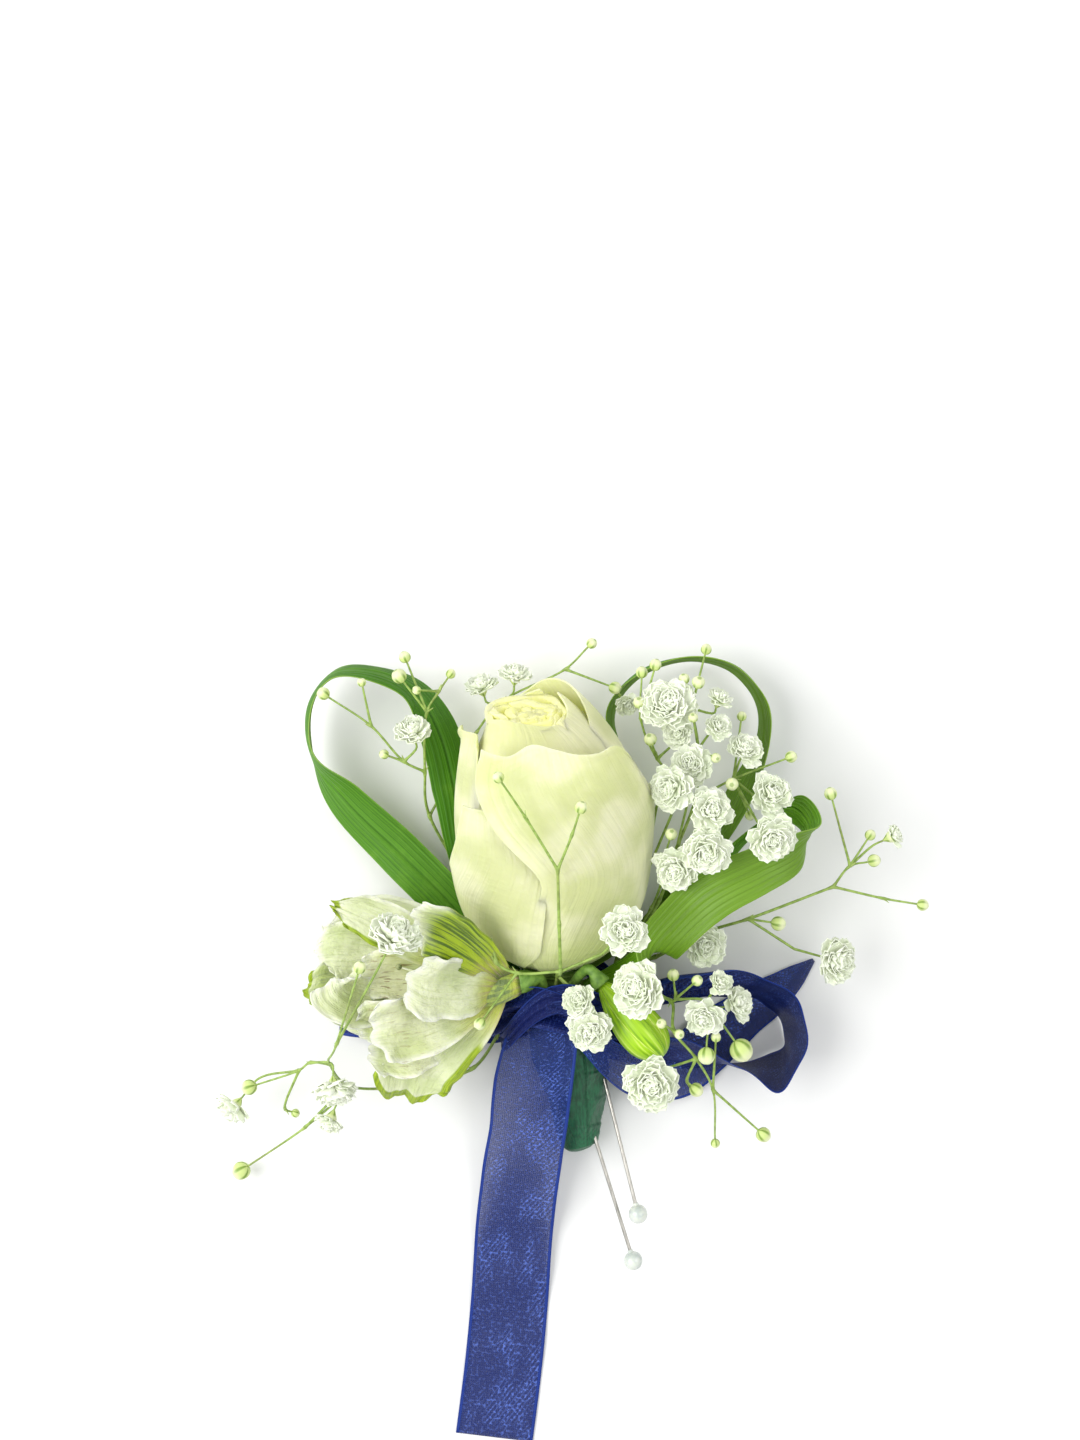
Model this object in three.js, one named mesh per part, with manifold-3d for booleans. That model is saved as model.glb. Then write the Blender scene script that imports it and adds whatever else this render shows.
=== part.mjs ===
// A boutonniere lying on its back: a cream rose, a white alstroemeria and its bud, six sprigs of
// baby's breath and three looped grass leaves, their stems bound in floral tape and tied with a ribbon
// bow, with two pearl-headed pins stuck in the tape.
// Millimetres. +Z is up, away from the surface it lies on, +Y runs from the stem's foot to the rose,
// and the origin is on the small flat under the taped stem.
import * as THREE from "three";
import { mergeVertices } from "three/addons/utils/BufferGeometryUtils.js";
import Module from "manifold-3d";

const wasm = await Module();
wasm.setup();

// Driving dimensions.
const CLEARANCE = 0.3; // between neighbours that touch on the real thing
const TABLE_Z = 0;
const RIBBON = { width: 16, thickness: 0.6 };
const RIBBON_TURN = { middle: [-1.9, 14.2, 9.2], radius: 8.55, halfWidth: 3.4 };
const TWIG = { main: 0.7, side: 0.5, sides: 4, budSides: 5, step: 9 };
const STEM_HOLE = { ring: 5, radius: 1.05, depth: 7.2, stemRadius: 0.7 };
const ROSE = { base: [-4.6, 26.2, 10.6], tiltDeg: 19, leanDeg: 0.5, neck: 3.4, bulge: 16.8 };
const ROSE_STEM = { radius: 2.1, depth: 18 };
const HIP = { depth: 4.6, radius: 3.7 };
const SEPAL = { count: 5, length: 5.2, halfWidth: 2.1, thickness: 0.7 };
const PETAL = { thickness: 0.8 };
const LEAF = { thickness: 0.7 };
const TEPAL = { thickness: 0.7 };
const PIN = { radius: 0.4, headRadius: 1.9, length: 34.2, point: 5 };

const vec = (p) => new THREE.Vector3(...p);
const degrees = THREE.MathUtils.degToRad;
const mix = (a, b, t) => a + (b - a) * t;
const along = (p, direction, distance) => p.clone().addScaledVector(direction, distance);

// Solids: a closed geometry becomes a manifold, is joined or cut, and becomes a geometry again.

function solidOf(geometry) {
  const bare = new THREE.BufferGeometry().setAttribute("position", geometry.getAttribute("position").clone());
  bare.setIndex(geometry.index);
  const merged = mergeVertices(bare, 1e-4);
  return new wasm.Manifold(
    new wasm.Mesh({
      numProp: 3,
      vertProperties: merged.attributes.position.array,
      triVerts: new Uint32Array(merged.index.array),
    }),
  );
}

function geometryOf(solid) {
  const mesh = solid.getMesh();
  const positions = new Float32Array(mesh.numVert * 3);
  for (let i = 0; i < mesh.numVert; i += 1) {
    positions.set(mesh.vertProperties.subarray(i * mesh.numProp, i * mesh.numProp + 3), i * 3);
  }
  const geometry = new THREE.BufferGeometry();
  geometry.setAttribute("position", new THREE.BufferAttribute(positions, 3));
  geometry.setIndex(new THREE.BufferAttribute(new Uint32Array(mesh.triVerts), 1));
  geometry.computeVertexNormals();
  return geometry;
}

const joined = (solids) => solids.reduce((whole, next) => whole.add(next));
const moved = (solid, matrix) => solidOf(geometryOf(solid).applyMatrix4(matrix));

// The one body of a solid, without the crumbs that a cut leaves.
function oneBody(solid) {
  const crumb = 0.5;
  const bodies = solid.decompose().sort((a, b) => b.volume() - a.volume());
  if (bodies.length > 1 && bodies[1].volume() > crumb) {
    const box = bodies[1].boundingBox();
    throw new Error(`a piece came loose near ${box.min} to ${box.max}`);
  }
  return bodies[0];
}

function tableBlock() {
  const size = 400;
  return solidOf(new THREE.BoxGeometry(size, size, size).translate(0, 0, TABLE_Z - size / 2));
}

// Flattens what would reach below the surface that the boutonniere lies on.
const restedOnTable = (solid) => oneBody(solid.subtract(tableBlock()));

// A closed skin through rings of points, with a flat fan over each end.
function loft(rings) {
  const sides = rings[0].length;
  const positions = rings.flat().flatMap((p) => [p.x, p.y, p.z]);
  const index = [];
  for (let ring = 0; ring < rings.length - 1; ring += 1) {
    for (let k = 0; k < sides; k += 1) {
      const a = ring * sides + k;
      const b = ring * sides + ((k + 1) % sides);
      index.push(a, b, a + sides, b, b + sides, a + sides);
    }
  }
  const last = (rings.length - 1) * sides;
  for (let k = 1; k < sides - 1; k += 1) {
    index.push(0, k + 1, k);
    index.push(last, last + k, last + k + 1);
  }
  const geometry = new THREE.BufferGeometry();
  geometry.setAttribute("position", new THREE.Float32BufferAttribute(positions, 3));
  geometry.setIndex(index);
  return geometry;
}

// A stalk along a smooth curve through the points. Its head, if it has one, is a list of rings past the
// last point: how far past it and how wide.
function stalk({ points, startRadius, endRadius, sides = TWIG.sides, head = [], heading = null }) {
  const curve = new THREE.CatmullRomCurve3(points, false, "centripetal");
  const spans = points.length - 1;
  const places = [];
  for (let span = 0; span < spans; span += 1) {
    const cuts = Math.max(1, Math.round(points[span].distanceTo(points[span + 1]) / TWIG.step));
    for (let cut = 0; cut < cuts; cut += 1) {
      places.push((span + cut / cuts) / spans);
    }
  }
  places.push(1);
  const rings = [];
  let normal = new THREE.Vector3(0.31, 0.22, 0.92);
  const addRing = (centre, forward, radius) => {
    normal = normal.clone().addScaledVector(forward, -normal.dot(forward)).normalize();
    const binormal = forward.clone().cross(normal);
    rings.push(
      Array.from({ length: sides }, (_, k) => {
        const angle = (2 * Math.PI * k) / sides;
        const rim = along(centre, normal, radius * Math.cos(angle));
        return along(rim, binormal, radius * Math.sin(angle));
      }),
    );
  };
  for (const place of places) {
    addRing(curve.getPoint(place), curve.getTangent(place), mix(startRadius, endRadius, place));
  }
  const ahead = heading ?? curve.getTangent(1);
  for (const [past, radius] of head) {
    addRing(along(points.at(-1), ahead, past), ahead, radius);
  }
  return solidOf(loft(rings));
}

// A thin closed sheet with its middle surface at pointAt(u, v), u and v from 0 to 1, split alike on both faces.
function sheet(pointAt, across, lengthways, thickness) {
  const step = 1e-3;
  const positions = [];
  for (const side of [1, -1]) {
    for (let j = 0; j <= lengthways; j += 1) {
      for (let i = 0; i <= across; i += 1) {
        const u = i / across;
        const v = j / lengthways;
        const du = pointAt(Math.min(1, u + step), v).sub(pointAt(Math.max(0, u - step), v));
        const dv = pointAt(u, Math.min(1, v + step)).sub(pointAt(u, Math.max(0, v - step)));
        const normal = du.cross(dv).normalize();
        const p = pointAt(u, v).addScaledVector(normal, (side * thickness) / 2);
        positions.push(p.x, p.y, p.z);
      }
    }
  }
  const columns = across + 1;
  const lower = columns * (lengthways + 1);
  const index = [];
  for (let j = 0; j < lengthways; j += 1) {
    for (let i = 0; i < across; i += 1) {
      const a = j * columns + i;
      const b = a + 1;
      const c = a + columns;
      const d = c + 1;
      index.push(a, b, d, a, d, c, lower + a, lower + d, lower + b, lower + a, lower + c, lower + d);
    }
  }
  const wall = (p, q) => index.push(p, lower + p, lower + q, p, lower + q, q);
  for (let i = 0; i < across; i += 1) {
    wall(i, i + 1);
    wall(lengthways * columns + i + 1, lengthways * columns + i);
  }
  for (let j = 0; j < lengthways; j += 1) {
    wall((j + 1) * columns, j * columns);
    wall(j * columns + across, (j + 1) * columns + across);
  }
  const geometry = new THREE.BufferGeometry();
  geometry.setAttribute("position", new THREE.Float32BufferAttribute(positions, 3));
  geometry.setIndex(index);
  return solidOf(geometry);
}

// A band of even thickness along a route. Each stop of the route gives its place, the direction of its
// width there, and its width.
function band(stops, thickness, lengthways, across, crown = 0) {
  const places = new THREE.CatmullRomCurve3(stops.map((s) => vec(s.at)), false, "centripetal");
  const turns = new THREE.CatmullRomCurve3(stops.map((s) => vec(s.side).normalize()), false, "catmullrom");
  const last = stops.length - 1;
  const widthAt = (t) => {
    const from = Math.min(last - 1, Math.floor(t * last));
    return mix(stops[from].width, stops[from + 1].width, t * last - from);
  };
  const pointAt = (u, v) => {
    const side = turns.getPoint(v).normalize();
    const tangent = places.getTangent(v);
    const width = widthAt(v);
    const up = side.clone().cross(tangent).normalize();
    const across01 = 2 * u - 1;
    return places
      .getPoint(v)
      .addScaledVector(side, (width / 2) * across01)
      .addScaledVector(up, crown * width * (1 - across01 * across01));
  };
  return sheet(pointAt, across, lengthways, thickness);
}

const toAxis = (direction) => new THREE.Quaternion().setFromUnitVectors(new THREE.Vector3(0, 1, 0), direction);

// The bound stems: a swollen sleeve of tape round the stems, with the hole that each stem fills.
const TAPE_AXIS = [
  { at: [1.5, -12.2, 4.1], radius: 2.4 },
  { at: [1.2, -11.3, 4.1], radius: 3.9 },
  { at: [0.7, -7.5, 4.4], radius: 4.8 },
  { at: [0, 0, 5.8], radius: 6.3 },
  { at: [-0.9, 7, 7.3], radius: 7.8 },
  { at: [-1.7, 13, 8.9], radius: 8 },
  { at: [-2.6, 18.3, 10], radius: 7.4 },
];
const bindingTop = vec(TAPE_AXIS.at(-1).at);
const roseBase = vec(ROSE.base);
const stemAxis = roseBase.clone().sub(bindingTop).normalize();
const stemRight = new THREE.Vector3(1, 0, 0).addScaledVector(stemAxis, -stemAxis.x).normalize();
const stemFront = stemRight.clone().cross(stemAxis);

// Where each stem leaves the binding, in degrees round it: 90 faces up and 0 faces right.
const STEM_ANGLES = {
  lowerRightSprig: 18,
  bud: 78,
  frontSprig: 108,
  alstroemeria: 138,
  lowerLeftSprig: 168,
  leftLeaf: 198,
  topLeftSprig: 228,
  topLeaf: 258,
  farSprig: 288,
  rightSprig: 318,
  rightLeaf: 348,
};

function holeMouth(name) {
  const angle = degrees(STEM_ANGLES[name]);
  return bindingTop
    .clone()
    .addScaledVector(stemRight, STEM_HOLE.ring * Math.cos(angle))
    .addScaledVector(stemFront, STEM_HOLE.ring * Math.sin(angle));
}

// A straight rod or drill between two points, with a given number of sides.
function rod(from, to, radius, sides) {
  const length = from.distanceTo(to);
  const geometry = new THREE.CylinderGeometry(radius, radius, length, sides);
  geometry.applyQuaternion(toAxis(to.clone().sub(from).normalize()));
  const middle = from.clone().lerp(to, 0.5);
  geometry.translate(middle.x, middle.y, middle.z);
  return solidOf(geometry);
}

// The pins: each enters the tape at a point and runs straight out to its pearl.
const PINS = {
  upper: { entry: [5.6, 3.4, 9.6], pearl: [12.4, -23.6, 13] },
  lower: { entry: [3.2, -7.3, 6.9], pearl: [11.6, -33.9, 9.5] },
};
const pinDirection = (pin) => vec(pin.entry).sub(vec(pin.pearl)).normalize();
const pinPoint = (pin) => along(vec(pin.pearl), pinDirection(pin), PIN.headRadius + CLEARANCE + PIN.length);

function tapedStem() {
  const sides = 16;
  const steps = 8;
  const curve = new THREE.CatmullRomCurve3(TAPE_AXIS.map((s) => vec(s.at)), false, "centripetal");
  const rings = [];
  for (let i = 0; i <= steps; i += 1) {
    const t = i / steps;
    const place = t * (TAPE_AXIS.length - 1);
    const from = Math.min(TAPE_AXIS.length - 2, Math.floor(place));
    const radius = mix(TAPE_AXIS[from].radius, TAPE_AXIS[from + 1].radius, place - from);
    const centre = curve.getPoint(t);
    const forward = t === 1 ? stemAxis : curve.getTangent(t);
    const right = new THREE.Vector3(1, 0, 0).addScaledVector(forward, -forward.x).normalize();
    const up = right.clone().cross(forward);
    rings.push(
      Array.from({ length: sides }, (_, k) => {
        const angle = (2 * Math.PI * k) / sides;
        return centre
          .clone()
          .addScaledVector(right, radius * Math.cos(angle))
          .addScaledVector(up, radius * Math.sin(angle));
      }),
    );
  }
  const out = 2;
  const drills = Object.keys(STEM_ANGLES).map((name) => {
    const mouth = holeMouth(name);
    return rod(along(mouth, stemAxis, out), along(mouth, stemAxis, -STEM_HOLE.depth), STEM_HOLE.radius, 6);
  });
  drills.push(
    rod(
      along(bindingTop, stemAxis, out),
      along(bindingTop, stemAxis, -ROSE_STEM.depth - CLEARANCE),
      ROSE_STEM.radius + CLEARANCE,
      10,
    ),
  );
  for (const pin of Object.values(PINS)) {
    const depth = along(pinPoint(pin), pinDirection(pin), CLEARANCE);
    drills.push(rod(vec(pin.pearl), depth, PIN.radius + CLEARANCE, 6));
  }
  const body = solidOf(loft(rings.reverse()));
  return restedOnTable(drills.reduce((rest, drill) => rest.subtract(drill), body));
}

// The rose: petals wrapped round a closed bud, built upright and then laid back by its group.

function roseRadius(height) {
  const shoulder = Math.max(0, height - 30);
  return ROSE.neck + ROSE.bulge * (1 - Math.exp(-height / 7.5)) - 0.005 * shoulder * shoulder;
}

// One petal round the bud's axis. Azimuth 0 faces up, 90 faces right; scale is its share of the bud's
// radius; drop rounds its top corners; flare turns its lip out and lean draws it in.
const ROSE_PETALS = [
  { azimuth: 24, spread: 84, height: 51.5, scale: 1, drop: 9, power: 4, slant: -3.4, twist: 0, flare: 0.7, lean: 0.05 },
  { azimuth: -58, spread: 58, height: 41.5, scale: 1.045, drop: 16, power: 1.7, slant: 0, twist: 20, flare: 0.4, lean: 0 },
  { azimuth: -84, spread: 60, height: 51.5, scale: 0.955, drop: 9, power: 2.6, slant: 0, twist: 0, flare: 2.2, lean: 0.16 },
  { azimuth: 176, spread: 84, height: 57, scale: 0.96, drop: 10, power: 2.4, slant: 0, twist: 0, flare: 0.4, lean: 0.34 },
  { azimuth: 116, spread: 62, height: 53.5, scale: 0.91, drop: 9, power: 2.4, slant: 0, twist: 0, flare: 0.3, lean: 0.36 },
];
const ROSE_HEART = { count: 6, turnDeg: 137.5, firstDeg: -30, outer: 12.6, inner: 3, foot: 27 };
const ROSE_CORE = { share: 0.74, top: 43, footRadius: 3.9 };

function rosePetal({ azimuth, spread, height, scale, drop, power, slant, twist, flare, lean }) {
  const pointAt = (u, v) => {
    const side = 2 * u - 1;
    const open = 0.4 + 0.6 * Math.sin(Math.min(1, v / 0.6) * (Math.PI / 2));
    const angle = degrees(azimuth + spread * open * side + twist * v * v);
    const up = height * v + (slant * side - drop * Math.abs(side) ** power) * v * v;
    const lip = v ** 8;
    const radius = roseRadius(up) * scale * (1 - lean * v * v * v) + flare * lip;
    return new THREE.Vector3(radius * Math.sin(angle), -radius * Math.cos(angle), up + 0.2);
  };
  return sheet(pointAt, 7, 6, PETAL.thickness);
}

// A petal of the closed heart: an upright curl that stands out of the core.
function heartPetal(order) {
  const share = order / (ROSE_HEART.count - 1);
  const azimuth = ROSE_HEART.firstDeg + order * ROSE_HEART.turnDeg;
  const spread = mix(66, 110, share);
  const height = mix(54.5, 51.5, share * share);
  const foot = mix(ROSE_HEART.outer, ROSE_HEART.inner, share);
  const pointAt = (u, v) => {
    const side = 2 * u - 1;
    const angle = degrees(azimuth + spread * side);
    const up = mix(ROSE_HEART.foot, height - 3 * side * side, v);
    const radius = foot * (1 - 0.3 * v * v) + 0.8 * side;
    return new THREE.Vector3(radius * Math.sin(angle), -radius * Math.cos(angle), up);
  };
  return sheet(pointAt, 5, 3, PETAL.thickness);
}

const roseMatrix = new THREE.Matrix4().compose(
  roseBase,
  new THREE.Quaternion().setFromEuler(
    new THREE.Euler(degrees(ROSE.tiltDeg - 90), 0, degrees(ROSE.leanDeg), "ZYX"),
  ),
  new THREE.Vector3(1, 1, 1),
);

function roseCore() {
  const steps = 4;
  const profile = [new THREE.Vector2(0, 0), new THREE.Vector2(ROSE_CORE.footRadius, 0)];
  for (let i = 1; i <= steps; i += 1) {
    const height = (ROSE_CORE.top * i) / steps;
    const closing = 1 - 0.5 * (i / steps) ** 3;
    profile.push(new THREE.Vector2(roseRadius(height) * ROSE_CORE.share * closing, height));
  }
  profile.push(new THREE.Vector2(0, ROSE_CORE.top + 1));
  return solidOf(new THREE.LatheGeometry(profile, 10).rotateX(Math.PI / 2));
}

function roseBloom() {
  const heart = Array.from({ length: ROSE_HEART.count }, (_, order) => heartPetal(order));
  const whole = joined([roseCore(), ...ROSE_PETALS.map(rosePetal), ...heart]);
  const belowBase = solidOf(new THREE.BoxGeometry(60, 60, 20).translate(0, 0, -10));
  return restedOnTable(moved(whole.subtract(belowBase), roseMatrix));
}

// The green under the rose: its hip, five sepals spread under the petals, and the stem in the tape.
function roseCalyx() {
  const hip = new THREE.LatheGeometry(
    [
      [0, -HIP.depth],
      [HIP.radius * 0.6, -HIP.depth * 0.95],
      [HIP.radius, -HIP.depth * 0.56],
      [HIP.radius * 0.95, -CLEARANCE],
      [0, -CLEARANCE],
    ].map(([radius, height]) => new THREE.Vector2(radius, height)),
    12,
  );
  hip.rotateX(Math.PI / 2);
  const sepal = (k) =>
    sheet(
      (u, v) => {
        const side = 2 * u - 1;
        const radius = HIP.radius * 0.7 + SEPAL.length * v;
        const angle = degrees((360 * k) / SEPAL.count - 90) + (side * (1 - v * 0.8) * SEPAL.halfWidth) / radius;
        const height = -1.7 + 2.6 * v * v;
        return new THREE.Vector3(radius * Math.sin(angle), -radius * Math.cos(angle), height);
      },
      2,
      3,
      SEPAL.thickness,
    );
  const sepals = Array.from({ length: SEPAL.count }, (_, k) => sepal(k));
  const stem = rod(
    along(bindingTop, stemAxis, -ROSE_STEM.depth),
    along(roseBase, stemAxis, -HIP.depth / 2),
    ROSE_STEM.radius,
    10,
  );
  return moved(joined([solidOf(hip), ...sepals]), roseMatrix).add(stem);
}

// The looped leaves: a long blade bent over and caught with its two ends in the tape.
const LEAVES = {
  leaf_left: {
    stem: "leftLeaf",
    neck: [-10, 22.6, 8.4],
    stops: [
      { at: [-10.4, 23, 8.6], side: [0.6, -0.6, 0.5], width: 2.2 },
      { at: [-18.6, 29.8, 7.4], side: [0.6, -0.7, 0.2], width: 6.4 },
      { at: [-26, 38.5, 7.6], side: [0.66, 0.74, 0.1], width: 9.5 },
      { at: [-36, 48.5, 7.6], side: [0.66, 0.74, 0.15], width: 9.6 },
      { at: [-46.5, 59, 8], side: [0.68, 0.62, 0.45], width: 9 },
      { at: [-53.2, 69, 9], side: [0.15, 0.05, 0.98], width: 8.2 },
      { at: [-53.4, 78.5, 11], side: [0.08, 0, 0.99], width: 7.6 },
      { at: [-48.5, 84.6, 13], side: [0, -0.2, 0.98], width: 7.4 },
      { at: [-41, 85.2, 13], side: [0, -0.38, 0.92], width: 7.4 },
      { at: [-33.5, 82.2, 12], side: [-0.3, -0.5, 0.8], width: 7.6 },
      { at: [-28.2, 74, 10], side: [-0.8, -0.45, 0.4], width: 8.6 },
      { at: [-25, 62, 7], side: [-0.93, -0.25, 0.25], width: 9 },
      { at: [-23.5, 50, 4.4], side: [-0.95, -0.2, 0.15], width: 6.5 },
      { at: [-21, 38, 3.4], side: [-0.9, 0.1, 0.1], width: 4 },
      { at: [-15.5, 29, 4.6], side: [-0.8, 0.3, 0.2], width: 3 },
      { at: [-10, 23, 8], side: [-0.7, 0.3, 0.3], width: 2.2 },
    ],
    crown: 0.05,
    lengthways: 24,
  },
  leaf_top: {
    stem: "topLeaf",
    neck: [-2, 24.2, 2.6],
    stops: [
      { at: [-2, 24.4, 2.6], side: [0.5, 0.1, 0.85], width: 2 },
      { at: [8, 31, 2.4], side: [0.4, 0.1, 0.9], width: 2.6 },
      { at: [14, 44, 2.8], side: [0.3, 0.1, 0.94], width: 4 },
      { at: [12, 61, 3.4], side: [-0.2, 0.1, 0.97], width: 5.4 },
      { at: [7.4, 77, 6.4], side: [-0.25, 0.1, 0.95], width: 6 },
      { at: [13, 84.8, 7.2], side: [-0.05, 0.12, 0.98], width: 6.4 },
      { at: [23, 87.8, 7.2], side: [0, 0.15, 0.98], width: 6.8 },
      { at: [32.6, 86, 7.4], side: [0.05, 0.2, 0.98], width: 7.2 },
      { at: [37.6, 79.5, 7.6], side: [0.15, 0.1, 0.98], width: 7.6 },
      { at: [38, 70.8, 7.2], side: [0.25, 0.05, 0.96], width: 7.8 },
      { at: [33.6, 61, 6.6], side: [0.55, -0.3, 0.75], width: 7.4 },
      { at: [25, 47, 4.4], side: [0.7, -0.5, 0.5], width: 5.6 },
      { at: [15, 34, 2.6], side: [0.5, -0.5, 0.6], width: 3.4 },
      { at: [-1.4, 25, 3.4], side: [0.3, -0.5, 0.6], width: 2 },
    ],
    crown: 0.04,
    lengthways: 22,
  },
  leaf_right: {
    stem: "rightLeaf",
    neck: [7.5, 21.5, 10],
    stops: [
      { at: [7.5, 21.5, 10], side: [0.2, -0.5, 0.8], width: 2.2 },
      { at: [12.4, 26.4, 17.5], side: [0.5, -0.6, 0.5], width: 6 },
      { at: [17.8, 33.8, 23.5], side: [-0.65, 0.74, -0.1], width: 9.6 },
      { at: [25, 41.3, 27.5], side: [-0.55, 0.82, -0.05], width: 10.4 },
      { at: [35, 46.6, 28.6], side: [-0.4, 0.9, 0.1], width: 9.4 },
      { at: [42.6, 50, 26.5], side: [-0.4, 0.75, 0.5], width: 8.4 },
      { at: [46, 54.3, 21.5], side: [0.3, 0.35, 0.88], width: 7.6 },
      { at: [43, 58.2, 15.5], side: [0.6, 0.7, 0.4], width: 7 },
      { at: [36, 53, 9.6], side: [0.5, 0.8, 0.3], width: 6 },
      { at: [24, 40, 8], side: [-0.5, 0.75, 0.3], width: 4.6 },
      { at: [14, 29, 8.4], side: [-0.6, 0.6, 0.4], width: 3.4 },
      { at: [8, 22, 9.4], side: [-0.4, 0.5, 0.7], width: 2.2 },
    ],
    crown: 0.05,
    lengthways: 20,
  },
};

// The way of a stem out of its hole, straight while it is in the tape.
function rootPoints(holeName) {
  const mouth = holeMouth(holeName);
  return [CLEARANCE - STEM_HOLE.depth, 0, 1.6].map((distance) => along(mouth, stemAxis, distance));
}

function rootedStalk(holeName, points, endRadius, head = [], heading = null) {
  const startRadius = STEM_HOLE.stemRadius;
  return stalk({ points: [...rootPoints(holeName), ...points], startRadius, endRadius, head, heading });
}

function loopedLeaf({ stem, neck, stops, crown, lengthways }) {
  const blade = band(stops, LEAF.thickness, lengthways, 2, crown);
  const knuckle = new THREE.SphereGeometry(1.5, 6, 5).translate(...neck);
  return restedOnTable(joined([blade, solidOf(knuckle), rootedStalk(stem, [vec(neck)], 0.9)]));
}

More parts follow.
